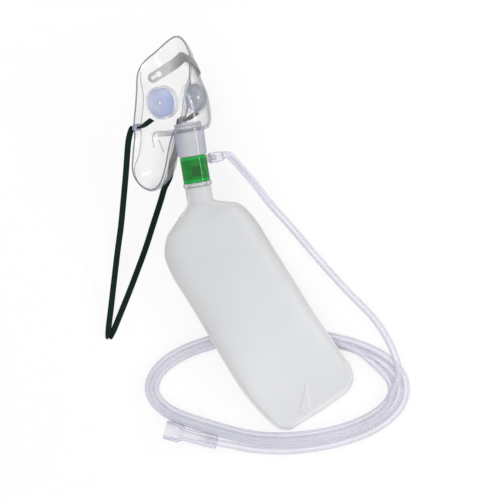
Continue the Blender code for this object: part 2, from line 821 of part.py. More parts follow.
def swivel_connector(parts, parent, finish):
    """The clear connector: it snaps through the mask's port and turns there."""
    wall = PORT_WALL / 2.0 + CLEAR
    lip_top = wall + LIP_HEIGHT
    profile = (
        (CONNECTOR_BORE, lip_top),
        (LIP_RADIUS - 0.8, lip_top),
        (LIP_RADIUS, lip_top - 0.9),
        (LIP_RADIUS, wall),
        (NECK_RADIUS, wall),
        (NECK_RADIUS, -wall),
        (CONNECTOR_TOP_RADIUS, -wall),
        (CONNECTOR_TOP_RADIUS, -wall - 1.6),
        (CONNECTOR_END_RADIUS, -CONNECTOR_END),
        (SOCKET_RADIUS, -CONNECTOR_END),
        (SOCKET_RADIUS, SOCKET_DEPTH - CONNECTOR_END),
        (CONNECTOR_BORE, SOCKET_DEPTH - CONNECTOR_END + 1.0),
    )
    return turned("swivel_connector", parts, parent, None, profile, finish)


def gas_inlet_body(parts, cutters, parent, finish):
    """The clear body in the connector, with its valve web, its ring and its side nipple."""
    spigot = SOCKET_RADIUS - CLEAR
    top = SOCKET_DEPTH - CONNECTOR_END - SPIGOT_INSET
    shoulder = COLLAR_TOP - CLEAR
    ring_low = RING_TOP + RING_THICK
    end = ring_low + BAG_SPIGOT_LENGTH
    profile = (
        (BODY_BORE, top),
        (spigot - 0.3, top),
        (spigot, top - 1.2),
        (spigot, -shoulder),
        (BODY_RADIUS, -shoulder),
        (BODY_RADIUS, -RING_TOP),
        (RING_RADIUS, -RING_TOP),
        (RING_RADIUS, -ring_low),
        (BAG_SPIGOT_RADIUS, -ring_low),
        (BAG_SPIGOT_RADIUS - 0.3, -end),
        (BODY_BORE, -end),
    )
    body = turned("gas_inlet_body", parts, parent, None, profile, finish)
    web_low = -WEB_TOP - WEB_THICK
    web = rod("valve_web", cutters, parent, None, BODY_BORE + 0.5, web_low, -WEB_TOP, ROUND_STEPS)
    boolean(body, "UNION", web)
    for i in range(WEB_HOLE_COUNT):
        angle = 2.0 * math.pi * i / WEB_HOLE_COUNT
        place = Vector((math.cos(angle), math.sin(angle), 0.0)) * WEB_HOLE_RING * MM
        name = "web_hole_%d" % (i + 1)
        hole = rod(
            name, cutters, parent, Matrix.Translation(place), WEB_HOLE_RADIUS, web_low - 1.0,
            1.0 - WEB_TOP, 10,
        )
        boolean(body, "DIFFERENCE", hole)
    pin_low = web_low + WEB_THICK / 2.0
    pin = rod("valve_pin", cutters, parent, None, PIN_RADIUS, pin_low, PIN_HEIGHT - WEB_TOP, 12)
    boolean(body, "UNION", pin)
    side = local_frame((0.0, 0.0, -NIPPLE_AT), (1.0, 0.0, 0.0))
    inner = BODY_RADIUS - 0.7
    boss = rod("inlet_boss", cutters, parent, side, BOSS_RADIUS, inner, BOSS_REACH, 20)
    boolean(body, "UNION", boss)
    barb = rod(
        "inlet_barb", cutters, parent, side, BARB_RADIUS, BOSS_REACH - 0.5, BARB_REACH, 16,
        BARB_RADIUS * 0.85,
    )
    boolean(body, "UNION", barb)
    bore = rod("inlet_bore", cutters, parent, side, NIPPLE_BORE, 0.0, BARB_REACH + 1.0, 10)
    boolean(body, "DIFFERENCE", bore)
    return body


def inhalation_valve(parts, parent, finish):
    """The thin disc that lies on the web and opens towards the mask."""
    hole = PIN_RADIUS + CLEAR
    low = CLEAR - WEB_TOP
    profile = (
        (hole, low + INHALE_THICK),
        (INHALE_RADIUS, low + INHALE_THICK),
        (INHALE_RADIUS, low),
        (hole, low),
    )
    return turned("inhalation_valve", parts, parent, None, profile, finish, 28)


def valve_collar(parts, cutters, parent, finish):
    """The green sleeve round the inlet body, notched where the side inlet passes."""
    inner = BODY_RADIUS + CLEAR
    end = RING_TOP - CLEAR
    chamfer = 0.4
    profile = (
        (inner, -COLLAR_TOP),
        (COLLAR_RADIUS - chamfer, -COLLAR_TOP),
        (COLLAR_RADIUS, -COLLAR_TOP - chamfer),
        (COLLAR_RADIUS, chamfer - end),
        (COLLAR_RADIUS - chamfer, -end),
        (inner, -end),
    )
    collar = turned("valve_collar", parts, parent, None, profile, finish)
    size = (COLLAR_RADIUS, NOTCH_WIDTH, NOTCH_DEPTH * 2.0)
    centre = (COLLAR_RADIUS, 0.0, -COLLAR_TOP)
    boolean(collar, "DIFFERENCE", block("inlet_notch", cutters, parent, None, size, centre))
    return collar


def tube_socket(parts, parent, finish):
    """The belled end of the supply tube, pushed over the side nipple."""
    side = local_frame((0.0, 0.0, -NIPPLE_AT), (1.0, 0.0, 0.0))
    start = TUBE_SOCKET_START
    end = start + TUBE_SOCKET_LENGTH
    wide = TUBE_SOCKET_RADIUS
    bore = BARB_RADIUS + CLEAR
    profile = (
        (wide - 0.8, end),
        (wide - 0.5, end - 3.6),
        (wide - 0.3, end - 4.6),
        (wide, end - 5.2),
        (wide, end - 6.6),
        (wide - 0.7, end - 7.2),
        (wide - 0.7, start + 1.6),
        (wide, start + 1.2),
        (wide, start),
        (bore, start),
        (bore, BARB_REACH + CLEAR),
        (NIPPLE_BORE, BARB_REACH + CLEAR + 0.8),
        (NIPPLE_BORE, end),
    )
    return turned("tube_socket", parts, parent, side, profile, finish, 20)


def bag_section(centre, along, lateral, near, far, half):
    """A ring of points round the bag: a lens with a flat welded seam at each side."""
    upward = lateral.cross(along).normalized()
    if upward.z < 0.0:
        upward = -upward
    middle = (near + far) / 2.0
    reach = (far - near) / 2.0
    seam = min(SEAM_WIDTH, reach * 0.35)
    edge = SEAM_THICK / 2.0
    inner = reach - seam
    top = [(reach, edge), (inner, edge)]
    for i in range(1, BAG_SIDE_STEPS):
        angle = math.pi * i / BAG_SIDE_STEPS
        bulge = math.sin(angle) ** 0.8
        top.append((inner * math.cos(angle), edge + max(half - edge, 0.0) * bulge))
    top += [(-inner, edge), (-reach, edge)]
    ring = top + [(w, -h) for w, h in reversed(top)]
    return [centre + lateral * (middle + w) + upward * h for w, h in ring]


def round_section(centre, along, lateral, wide, deep):
    """A ring with as many points as a bag section, as a plain oval."""
    upward = lateral.cross(along).normalized()
    if upward.z < 0.0:
        upward = -upward
    count = 2 * (BAG_SIDE_STEPS + 3)
    ring = []
    for i in range(count):
        angle = 2.0 * math.pi * (i + 0.5) / count
        ring.append(centre + lateral * wide * math.cos(angle) + upward * deep * math.sin(angle))
    return ring


def reservoir_bag(parts, cutters, supply, finish):
    """The film bag: a round neck on the spigot, then a lens between two welded seams."""
    heading = math.radians(BAG_HEADING)
    down = Vector((math.sin(heading), -math.cos(heading), 0.0))
    lateral = Vector((math.cos(heading), math.sin(heading), 0.0))
    start = on_table(*BAG_START, 0.0)
    turn = supply.matrix_world.to_3x3()
    axis = -(turn @ Vector((0.0, 0.0, 1.0)))
    port = supply.matrix_world.translation / MM
    neck_top = RING_TOP + RING_THICK + CLEAR
    neck_radius = BAG_SPIGOT_RADIUS + CLEAR + BAG_FILM
    neck_side = Vector((0.0, 0.0, 1.0)).cross(axis).normalized()
    rings = []
    for reach in (*NECK_REACHES, BAG_SPIGOT_LENGTH + 1.0):
        rings.append(round_section(port + axis * (neck_top + reach), axis, neck_side,
                                   neck_radius, neck_radius))
    for x, y, z, wide, deep in BAG_NECK:
        share = len(rings) - 3
        side = neck_side.lerp(lateral, share / (len(BAG_NECK) + 1.0)).normalized()
        flow = axis.lerp(down, share / (len(BAG_NECK) + 1.0)).normalized()
        rings.append(round_section(on_table(x, y, z), flow, side, wide, deep))
    for reach, near, far, height, half in BAG_STATIONS:
        centre = start + down * reach + Vector((0.0, 0.0, height))
        rings.append(bag_section(centre, down, lateral, near, far, half))
    around = len(rings[0])
    points = [p for ring in rings for p in ring]
    mesh = mesh_from_points("reservoir_bag", points, ring_faces(len(rings), around))
    fix_normals(mesh)
    bag = add_object("reservoir_bag", mesh, parts, None, finish)
    depth = neck_top + BAG_SPIGOT_LENGTH
    mouth = rod("bag_mouth", cutters, supply, None, BAG_SPIGOT_RADIUS + CLEAR, -depth,
                -neck_top + 2.0, 28)
    boolean(bag, "DIFFERENCE", mouth)
    return bag


def strap_stations(mask):
    """Points of the strap with its width direction, from the near tail to the far tail."""
    world = mask.matrix_world
    turn = world.to_3x3()
    right, front, crown = (turn @ Vector(v) for v in ((1, 0, 0), (0, 1, 0), (0, 0, 1)))
    stations = []
    for side in (1.0, -1.0):
        x, y, z = LUG_CENTRE
        slot = (world @ (Vector((side * x, y, z)) * MM)) / MM
        half = LUG_SIZE[1] / 2.0
        wide = right * side
        ends = [
            (slot + front * (half + ahead) + crown * up, wide) for ahead, up in STRAP_TAIL
        ]
        ends += [(slot + front * half, wide), (slot - front * half, wide)]
        ends += [
            (slot - front * (half + behind) - crown * down, wide) for behind, down in STRAP_BACK
        ]
        stations.append(ends)
    return stations


def elastic_strap(parts, mask, finish):
    """The flat elastic: a tail through each lug, and one long loop between them."""
    near_end, far_end = strap_stations(mask)
    flat = Vector((1.0, 0.1, 0.0)).normalized()
    route = [p for p, _ in near_end]
    sides = [w for _, w in near_end]
    blend = len(sides)
    for i, point in enumerate(STRAP_NEAR):
        route.append(on_table(*point))
        share = min((i + 1) / 3.0, 1.0)
        sides.append((near_end[-1][1].lerp(-flat, share)).normalized())
    fold = on_table(*STRAP_FOLD)
    route.append(fold)
    sides.append(-flat)
    for i, point in enumerate(STRAP_FAR):
        route.append(on_table(*point))
        sides.append(-flat)
    far_route = list(reversed(far_end))
    for p, w in far_route:
        route.append(p)
        sides.append(-w if w.dot(-flat) < 0.0 else w)
    return ribbon("elastic_strap", parts, route, sides, finish)


def ribbon(name, parts, route, sides, finish):
    """A flat strip swept along a route with a width direction at each point."""
    points = []
    fine = []
    count = len(route)
    for i in range(count - 1):
        before = route[max(i - 1, 0)]
        after = route[min(i + 2, count - 1)]
        start, end = route[i], route[i + 1]
        pieces = max(1, round((end - start).length / 7.0))
        for k in range(pieces):
            t = k / pieces
            point = 0.5 * (
                2 * start
                + (end - before) * t
                + (2 * before - 5 * start + 4 * end - after) * t * t
                + (3 * start - before - 3 * end + after) * t**3
            )
            fine.append((point, sides[i].lerp(sides[i + 1], t).normalized()))
    fine.append((route[-1], sides[-1]))
    for i, (point, side) in enumerate(fine):
        along = (fine[min(i + 1, len(fine) - 1)][0] - fine[max(i - 1, 0)][0]).normalized()
        side = (side - along * side.dot(along)).normalized()
        across = along.cross(side)
        for w, h in ((-1, -1), (1, -1), (1, 1), (-1, 1)):
            offset = side * w * STRAP_WIDTH / 2.0 + across * h * STRAP_THICK / 2.0
            points.append(point + offset)
    mesh = mesh_from_points(name, points, ring_faces(len(fine), 4))
    fix_normals(mesh)
    return add_object(name, mesh, parts, None, finish)


def tube(name, parts, points, radius, finish):
    """A round tube along a route, with flat ends."""
    curve = bpy.data.curves.new(name, "CURVE")
    curve.dimensions = "3D"
    curve.bevel_depth = radius * MM
    curve.bevel_resolution = 2
    curve.use_fill_caps = True
    spline = curve.splines.new("POLY")
    spline.points.add(len(points) - 1)
    for item, point in zip(spline.points, points):
        item.co = (*(point * MM), 1.0)
    item = bpy.data.objects.new(name, curve)
    parts.objects.link(item)
    curve.materials.append(finish)
    return item


def coil_sweep(angle):
    """Inner edge, outer edge and height of the coil's bundle at an angle."""
    rows = [*COIL_SECTIONS, (360.0, *COIL_SECTIONS[0][1:])]
    angles = [row[0] for row in rows]
    return [float(np.interp(angle, angles, [row[k] for row in rows])) for k in (1, 2, 3)]


def tube_coil(parts, finish):
    """The outer shape of the coiled tube, lying as a long loop."""
    centre = on_table(*COIL_CENTRE, 0.0)
    around = COIL_AROUND_STEPS
    points = []
    for i in range(COIL_STEPS):
        angle = 2.0 * math.pi * i / COIL_STEPS
        inner, outer, high = coil_sweep(math.degrees(angle))
        middle, reach = (inner + outer) / 2.0, (outer - inner) / 2.0
        spot = centre + Vector(
            (COIL_HALF_LENGTH * math.cos(angle), COIL_HALF_WIDTH * math.sin(angle), 0.0)
        )
        outward = Vector(
            (COIL_HALF_WIDTH * math.cos(angle), COIL_HALF_LENGTH * math.sin(angle), 0.0)
        ).normalized()
        for k in range(around):
            turn = 2.0 * math.pi * (k + 0.5) / around
            side = max(-1.0, min(1.0, math.cos(turn) * COIL_BULGE))
            level = 1.0 + max(-1.0, min(1.0, math.sin(turn) * COIL_BULGE))
            lift = Vector((0.0, 0.0, COIL_LIFT + high / 2.0 * level))
            points.append(spot + outward * (middle + side * reach) + lift)
    mesh = mesh_from_points("tube_coil", points, ring_faces(COIL_STEPS, around, closed=True))
    fix_normals(mesh)
    return add_object("tube_coil", mesh, parts, None, finish)


def supply_connector(parts, cutters, finish):
    """The funnel connector on the tube's far end, with its ribbed grip."""
    start = on_table(*CONNECTOR_AT)
    towards = on_table(*CONNECTOR_TOWARDS) - start
    frame = local_frame(start, towards)
    length = FUNNEL_LENGTH + MIDDLE_LENGTH + GRIP_LENGTH
    middle = FUNNEL_LENGTH + MIDDLE_LENGTH
    socket_depth = length - GRIP_LENGTH * 0.7
    profile = (
        (GRIP_RADIUS, length),
        (GRIP_RADIUS, middle + 1.0),
        (MIDDLE_RADIUS + 0.3, middle),
        (MIDDLE_RADIUS, middle - 0.6),
        (MIDDLE_RADIUS, FUNNEL_LENGTH + 2.0),
        (FUNNEL_RADIUS - 0.9, FUNNEL_LENGTH - 1.2),
        (FUNNEL_RADIUS, FUNNEL_LENGTH - 2.2),
        (FUNNEL_RADIUS, 0.0),
        (FUNNEL_RADIUS - 1.2, 0.0),
        (FUNNEL_RADIUS - 1.6, FUNNEL_LENGTH - 4.0),
        (SUPPLY_BORE - 0.4, FUNNEL_LENGTH + 1.0),
        (SUPPLY_BORE - 0.8, socket_depth),
        (TUBE_RADIUS + CLEAR, socket_depth + 0.4),
        (TUBE_RADIUS + CLEAR, length),
    )
    item = turned("supply_connector", parts, None, frame, profile, finish, 24)
    for i in range(GRIP_RIB_COUNT):
        turn = Matrix.Rotation(2.0 * math.pi * (i + 0.5) / GRIP_RIB_COUNT, 4, "Z")
        rib = block(
            "grip_rib_%d" % (i + 1), cutters, None, frame @ turn, (1.6, 1.2, GRIP_LENGTH - 1.6),
            (GRIP_RADIUS, 0.0, middle + GRIP_LENGTH / 2.0 + 0.6),
        )
        boolean(item, "UNION", rib)
    return item, frame, length


def build():
    """Make every piece."""
    clear_scene()
    parts = new_collection("oxygen_mask")
    cutters = new_collection("cutters")
    clear_vinyl = new_material("clear_vinyl", (0.90, 0.91, 0.95), 0.12, alpha=0.35)
    valve_rubber = new_material("valve_rubber", (0.62, 0.68, 0.86), 0.35)
    clip_metal = new_material("clip_aluminium", (0.60, 0.60, 0.60), 0.38, 1.0)
    tinted = new_material("tinted_plastic", (0.78, 0.78, 0.90), 0.15, alpha=0.5)
    green = new_material("green_plastic", (0.03, 0.42, 0.12), 0.25)
    film = new_material("bag_film", (0.80, 0.81, 0.80), 0.45)
    elastic = new_material("strap_elastic", (0.02, 0.05, 0.045), 0.8)
    clear_plastic = new_material("clear_plastic", (0.86, 0.88, 0.90), 0.15, alpha=0.5)
    tubing = new_material("tube_vinyl", (0.80, 0.80, 0.93), 0.15, alpha=0.5)

    right, front, crown = mask_directions()
    port = on_table(*PORT_AT)
    mask = placed_empty("mask_frame", parts, port, right, front, crown)
    tilt = math.radians(PORT_TILT)
    axis = front * math.sin(tilt) - crown * math.cos(tilt)
    level = math.sqrt(1.0 - NIPPLE_LIFT**2)
    sideways = Vector((level, level * axis.x / -axis.y, NIPPLE_LIFT))
    sideways = (sideways - axis * sideways.dot(axis)).normalized()
    supply = placed_empty("supply_frame", parts, port, sideways, (-axis).cross(sideways), -axis)
    bpy.context.view_layer.update()

    mask_shell(parts, cutters, mask, clear_vinyl)
    for side, word in ((1.0, "right"), (-1.0, "left")):
        valve_flap("valve_flap_" + word, parts, mask, side, valve_rubber)
    nose_clip(parts, cutters, mask, clip_metal)
    elastic_strap(parts, mask, elastic)

    swivel_connector(parts, supply, tinted)
    gas_inlet_body(parts, cutters, supply, clear_plastic)
    inhalation_valve(parts, supply, valve_rubber)
    valve_collar(parts, cutters, supply, green)
    tube_socket(parts, supply, tinted)
    reservoir_bag(parts, cutters, supply, film)

    out = supply.matrix_world
    nipple = (out @ (Vector((0.0, 0.0, -NIPPLE_AT)) * MM)) / MM
    reach = TUBE_SOCKET_START + TUBE_SOCKET_LENGTH + CLEAR
    leave = nipple + sideways * reach
    route = [leave, leave + sideways * 5.0, *(on_table(*p) for p in RISER_ROUTE)]
    tube("oxygen_tube", parts, smooth_route(route, TUBE_POINT_STEP), TUBE_RADIUS, tubing)
    tube_coil(parts, tubing)
    connector, frame, length = supply_connector(parts, cutters, tinted)
    inside = (frame @ (Vector((0.0, 0.0, length - GRIP_LENGTH * 0.6)) * MM)) / MM
    exit_point = (frame @ (Vector((0.0, 0.0, length + 1.0)) * MM)) / MM
    tail = [inside, exit_point, *(on_table(*p) for p in TAIL_ROUTE)]
    tube("tube_tail", parts, smooth_route(tail, TUBE_POINT_STEP), TUBE_RADIUS, tubing)


build()
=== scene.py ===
"""The looks of the oxygen mask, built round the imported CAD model.

Sizes are in millimetres in the frame's own axes, and become metres where a mesh is made.
"""
import math

import bmesh
import bpy
import numpy as np
from mathutils import Matrix, Vector
from mathutils.bvhtree import BVHTree


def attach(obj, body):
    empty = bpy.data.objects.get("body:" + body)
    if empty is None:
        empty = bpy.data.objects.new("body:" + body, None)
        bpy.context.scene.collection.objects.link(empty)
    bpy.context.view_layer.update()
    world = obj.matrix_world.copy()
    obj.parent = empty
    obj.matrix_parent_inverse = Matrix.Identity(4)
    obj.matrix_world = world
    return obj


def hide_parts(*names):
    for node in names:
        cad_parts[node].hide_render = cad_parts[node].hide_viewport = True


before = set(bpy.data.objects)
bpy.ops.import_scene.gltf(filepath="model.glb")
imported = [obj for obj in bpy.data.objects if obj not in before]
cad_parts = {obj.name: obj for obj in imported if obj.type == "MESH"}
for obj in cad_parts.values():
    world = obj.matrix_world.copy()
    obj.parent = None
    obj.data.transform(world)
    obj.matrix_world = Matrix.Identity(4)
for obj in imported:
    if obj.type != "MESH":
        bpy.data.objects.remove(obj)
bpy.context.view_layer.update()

MM = 0.001
IDENTITY = Matrix.Identity(4)
UP = Vector((0.0, 0.0, 1.0))

# Sides of the round shapes, and how finely the tube and the round bars are made
CUT_SIDES = 64
VENT_SIDES = 24
KEYHOLE_SIDES = 32
SEAT_SIDES = 72
DISC_SIDES = 96
STUD_SIDES = 40
TUBE_ROUNDNESS = 5
BAR_ROUNDNESS = 4

# Camera: straight above the table, at the photograph's framing, seeing up to 20 m away
EYE = (17.0, -11.5, 1500.0)
LENS = 127.4
SENSOR = 36.0
LENS_REACH = 20.0

# Lights: place, size in metres and power
LIGHT_TARGET = Vector((0.0, 0.05, 0.03))
LIGHTS = (
    ("key", (-0.50, 0.55, 1.15), (0.5, 0.5), 4.0),
    ("streak", (1.00, 0.22, 0.76), (0.075, 1.0), 3.9),
    ("low_fill", (0.15, -1.05, 0.75), (0.3, 1.2), 3.0),
)
# The world's grey from straight below to straight above, and its strength
SKY = ((0.0, 0.72), (0.55, 0.62), (0.8, 1.0), (1.0, 1.0))
SKY_STRENGTH = 0.82
# The floor's half size in metres, and how much of it glows white where the camera sees it
FLOOR_HALF = 3.0
FLOOR_GLOW = 0.8

# How the mask lies, as in the CAD model: its port's centre and the turns of the face
PORT_AT = Vector((-33.5, 87.0, 47.8))
MASK_YAW = 57.0
MASK_LEAN = 8.3
MASK_PITCH = 16.0
PORT_TILT = 21.0
PORT_FORWARD = 29.6
NIPPLE_LIFT = -0.30
WALL = 1.3

# Rows of the face from the nose to the chin: rim height, half width and forward place, the
# flange's width and step, the middle line's height and forward place, and the roundness
MASK_ROWS = (
    (72.5, 3.0, 5.0, 0.3, 0.0, 72.9, 5.6, 2.0),
    (70.5, 8.4, 4.8, 0.3, 0.2, 70.2, 6.3, 1.9),
    (67.0, 14.6, 4.2, 0.3, 0.4, 66.8, 6.8, 1.8),
    (61.5, 22.0, 3.0, 0.4, 0.8, 62.3, 8.0, 1.6),
    (54.5, 31.0, 0.3, 0.5, 1.4, 56.5, 12.6, 1.45),
    (48.0, 35.4, -1.6, 0.8, 1.8, 51.0, 18.6, 1.4),
    (42.0, 37.0, -2.0, 2.0, 2.0, 45.0, 24.8, 1.5),
    (36.5, 37.5, -1.4, 4.0, 1.8, 39.2, 30.0, 1.62),
    (30.5, 37.8, -0.4, 7.2, 1.3, 33.2, 34.8, 1.85),
    (23.0, 37.9, 0.3, 9.6, 1.0, 26.5, 38.6, 2.1),
    (14.0, 37.8, 0.8, 10.3, 1.0, 18.0, 42.0, 2.2),
    (6.5, 37.4, 0.8, 9.9, 1.0, 10.5, 44.0, 2.2),
    (1.0, 36.4, 0.5, 9.2, 1.2, 6.2, 44.2, 2.1),
    (-1.8, 35.2, 0.2, 8.4, 1.5, 4.6, 42.4, 2.1),
    (-4.0, 33.8, -0.4, 7.9, 1.8, 2.9, 38.8, 2.1),
    (-6.0, 31.9, -1.2, 7.0, 2.4, 0.0, 29.6, 2.1),
    (-8.5, 29.8, -2.2, 5.8, 3.0, -3.6, 20.0, 2.1),
    (-11.5, 28.0, -3.0, 4.6, 3.6, -6.6, 16.6, 2.0),
    (-16.5, 26.9, -3.6, 4.2, 4.5, -12.5, 15.6, 2.0),
    (-24.0, 25.8, -4.2, 3.6, 4.5, -21.0, 15.4, 2.0),
    (-31.5, 25.0, -4.2, 2.0, 3.2, -29.0, 15.4, 2.0),
    (-37.5, 24.4, -4.0, 0.8, 2.4, -36.0, 15.0, 2.0),
    (-43.5, 22.4, -3.2, 0.5, 2.4, -42.6, 13.6, 2.0),
    (-49.5, 18.4, -1.6, 0.4, 2.0, -49.2, 10.6, 2.0),
    (-55.0, 11.6, 0.8, 0.3, 1.2, -55.2, 6.2, 2.0),
    (-58.0, 3.6, 2.4, 0.3, 0.3, -58.1, 3.4, 2.0),
)
# Where the face turns flat round the port: by rows, and by the distance from its centre
PORT_ROWS = (12.6, 16.6)
PORT_FLAT_RADII = (14.0, 20.0)
FACE_ROWS = 121
FLANGE_COLUMNS = 5
FACE_COLUMNS = 36
COLUMN_POWER = 1.1
# The rolled rim, thinner than in the CAD model, as the photograph shows it
RIM_BEAD_RADIUS = 0.62
# Fine folds: the flange's, by rows, and the chin's, by the points of the table they hide
FOLD_RADIUS = 0.3
FOLD_PLACES = (5.5, 23.5)
FOLD_POINTS = 60
CHIN_FOLDS = (
    ((-63.5, 88.5), (-55.0, 89.0), (-46.3, 90.2)),
    ((-60.9, 85.1), (-54.0, 85.3), (-47.3, 86.0)),
    ((-63.5, 88.5), (-65.3, 85.2), (-65.7, 82.6), (-64.9, 78.2), (-64.0, 75.0)),
    ((-60.5, 82.0), (-58.0, 76.5), (-56.0, 71.0)),
    ((-45.7, 92.3), (-35.0, 94.2), (-25.4, 96.1)),
)
# The bag's creases drawn dark with painted shade, and its creases and end weld drawn pale with
# painted highlight, also by the points they hide
BAG_CREASES = (
    ((64.4, -124.3), (62.9, -130.5), (61.6, -137.5), (58.4, -147.4)),
    ((57.4, -148.7), (60.6, -148.6), (63.2, -149.6), (65.7, -151.0)),
)
BAG_WELDS = (
    ((51.5, -161.6), (72.2, -147.8), (95.2, -132.5), (100.2, -127.1), (103.0, -119.8),
     (101.1, -113.3), (97.0, -106.0)),
    ((65.0, -125.3), (65.6, -131.0), (67.1, -138.1), (68.9, -147.6)),
    ((-34.6, 35.0), (-34.9, 27.6), (-37.3, 22.2), (-41.3, 16.1)),
)
# Their painted shade and painted highlight, as shares of the film's own tone
BAG_CREASE_PAINTED_SHADE = 0.84
BAG_WELD_PAINTED_HIGHLIGHT = 1.24
# Points between two points of a laid line
LINE_STEPS = 12

# Cheek valves, lugs and the port. The discs rise more than in the CAD model, as they do in
# the photograph
SIDES = ((1.0, "right"), (-1.0, "left"))
VALVE_CENTRE = (23.4, -13.6, 22.0)
VALVE_TURN = 82.0
SEAT_RADIUS = 13.4
SEAT_WALL = 1.3
SEAT_PROUD = 1.4
SEAT_LIP = 1.5
SEAT_DEPTH = 6.0
SEAT_PLATE = 1.2
FLAP_GAP = 0.3
FLAP_DOME = 2.4
FLAP_THICK = 0.9
FLAP_POINTS = 48
FLAP_POWER = 2.2
FLAP_GROOVE = 0.07
FLAP_GROOVE_STEP = 2.3
SEAT_LEDGE = 0.6
STUD_HEAD_THICK = 1.2
STUD_RADIUS = 1.5
STUD_HEAD_RADIUS = 2.5
VENT_COUNT = 6
VENT_RADIUS = 2.2
VENT_RING = 6.5
LUG_CENTRE = (32.7, -28.3, -1.2)
LUG_SIZE = (8.2, 3.8, 5.0)
LUG_EDGE = 0.5
SLOT_ROOM = 0.6
PORT_RIM_RADIUS = 13.2
PORT_BORE = 10.8
PORT_WALL = 2.4
# How deep the openings are cut, from inside to outside
WINDOW_CUT = (-7.0, 9.0)
PORT_CUT = (-6.0, 6.0)
PORT_RECESS = 8.0
PORT_RIM_HOLD = 0.4

# Nose clip, as in the CAD model
CLIP_WIDTH = 8.6
CLIP_THICK = 0.8
CLIP_ROWS = (3.95, 6.6)
CLIP_REACH = 0.80
CLIP_LIFT = 0.6
CLIP_STUD_INSET = 4.2
CLIP_STUD_RADIUS = 1.2
CLIP_HEAD_RADIUS = 2.0
KEYHOLE_RADIUS = 1.75
KEYHOLE_SLOT = 5.6
KEYHOLE_CUT = (-3.0, 3.0)
# Points along half the clip: for its middle line, along its straight part and round its end
CLIP_SHARES = 60
CLIP_STEPS = 36
CLIP_END_STEPS = 12
# How its rows crowd towards the middle, how near the points that give its direction lie, and
# what is left off its tip
CLIP_POWER = 1.3
CLIP_NEAR = 0.02
CLIP_TIP = 0.02

# The valve discs' painted shade across them, the near disc deeper towards its right and the far
# disc at its left edge, and the bag's painted light down its length, paler at its far end than at
# its neck
FLAP_PAINTED_SHADE = ((0.0, 1.0), (0.45, (0.80, 0.82, 0.92)), (1.0, (0.50, 0.58, 0.80)))
FAR_DISC_PAINTED_SHADE = ((0.0, (0.84, 0.87, 0.96)), (0.6, 1.0), (1.0, 1.0))
FILM_PAINTED_LIGHT = ((0.0, 1.0), (0.3, 0.95), (0.75, 0.88), (1.0, 0.84))

# The clip's painted shade along its width on the table: it turns darker at the bend
CLIP_PAINTED_SHADE = ((0.0, 0.76), (0.2, 0.86), (0.4, 0.96), (0.62, 0.46), (0.72, 0.34), (1.0, 0.42))

# Strap: the near and far runs in the frame's own axes, as in the CAD model
STRAP_WIDTH = 5.0
STRAP_THICK = 0.9
STRAP_ACROSS = 8
STRAP_THINNING = 0.45
STRAP_THINNING_POWER = 8
STRAP_STEP = 1.5
# Its tail ahead of the slot and its start behind it: distance from the lug, and height
STRAP_TAIL = ((11.4, 9.6), (5.6, 4.0), (2.4, 1.0), (0.6, 0.0))
STRAP_BACK = ((0.6, 0.0), (2.4, 0.3))
# How far each tail twists out of its slot, from its end, in degrees
TAIL_TURNS = (-36.0, -32.0, -12.0)
STRAP_NEAR = (
    (-80.3, 84.7, 59.5),
    (-82.2, 77.0, 56.5),
    (-83.4, 67.5, 52.0),
    (-85.2, 50.5, 44.5),
    (-87.6, 30.5, 36.0),
    (-90.4, 8.5, 27.0),
    (-93.6, -11.5, 20.0),
    (-97.6, -39.5, 11.0),
    (-100.5, -61.5, 6.0),
    (-102.6, -77.5, 3.4),
)
# The level direction of its width on the runs, and how many points it takes to turn to it
STRAP_LEVEL = (1.0, 0.1, 0.0)
STRAP_LEVELLING = 1.6
STRAP_FOLD = (-102.6, -85.9, 1.8)
STRAP_FAR = (
    (-98.8, -80.1, 0.9),
    (-91.3, -62.0, 0.7),
    (-84.3, -44.5, 0.7),
    (-79.5, -31.9, 0.7),
    (-71.7, -10.7, 0.7),
    (-63.9, 13.7, 0.7),
    (-58.4, 30.8, 0.7),
    (-55.5, 40.8, 0.7),
    (-50.9, 50.5, 0.7),
    (-49.4, 60.5, 0.8),
    (-45.4, 74.5, 0.8),
    (-43.2, 87.5, 1.2),
)

# Supply tube: the stretch from the side inlet down to the coil, then the coil's strands
TUBE_RADIUS = 3.0
SOCKET_END = 25.5
NIPPLE_AT = 25.8
RISER_ROUTE = (
    (11.3, 54.9, 27.0),
    (22.0, 42.5, 18.5),
    (30.7, 31.3, 12.0),
    (37.7, 23.1, 7.8),
    (46.8, 13.5, 4.6),
    (55.3, 3.7, 3.2),
    (69.0, -12.3, 3.05),
    (86.0, -31.8, 3.05),
    (103.7, -50.7, 3.05),
    (115.0, -61.9, 3.05),
    (123.5, -71.6, 3.05),
    (130.6, -81.9, 3.05),
)
COIL_CENTRE = (38.5, -128.8)
COIL_HALF_LENGTH = 104.5
COIL_HALF_WIDTH = 45.6
# How the strands lie, by the angle swept clockwise: the offset out from the bundle's middle
# line and the height of the tube's middle
LOW = 3.05
HIGH = 8.25
COIL_LAY = (
    (32.0, 15.4, 3.4),
    (24.0, 9.2, 7.4),
    (17.0, 3.8, 9.2),
    (-4.0, -5.8, 9.2),
    (-30.0, -3.0, HIGH),
    (-90.0, -2.5, HIGH),
    (-125.0, -6.2, HIGH),
    (-150.0, -3.0, HIGH),
    (-180.0, 0.0, HIGH),
    (-270.0, 0.0, HIGH),
    (-300.0, 0.2, HIGH),
    (-312.0, -1.7, 9.1),
    (-324.0, -5.5, 7.3),
    (-336.0, -6.9, 3.3),
    (-360.0, -6.1, LOW),
    (-450.0, -5.6, LOW),
    (-485.0, -9.2, LOW),
    (-515.0, -5.6, LOW),
    (-540.0, -3.1, LOW),
    (-630.0, -3.1, LOW),
    (-720.0, 0.1, LOW),
    (-810.0, 0.6, LOW),
    (-845.0, -3.1, LOW),
    (-875.0, 0.6, LOW),
    (-900.0, 3.1, LOW),
    (-990.0, 3.1, LOW),
    (-1080.0, 6.3, LOW),
    (-1170.0, 7.2, LOW),
)
TAIL_ROUTE = (
    (19.0, -180.1, 3.05),
    (2.0, -176.7, 4.0),
)
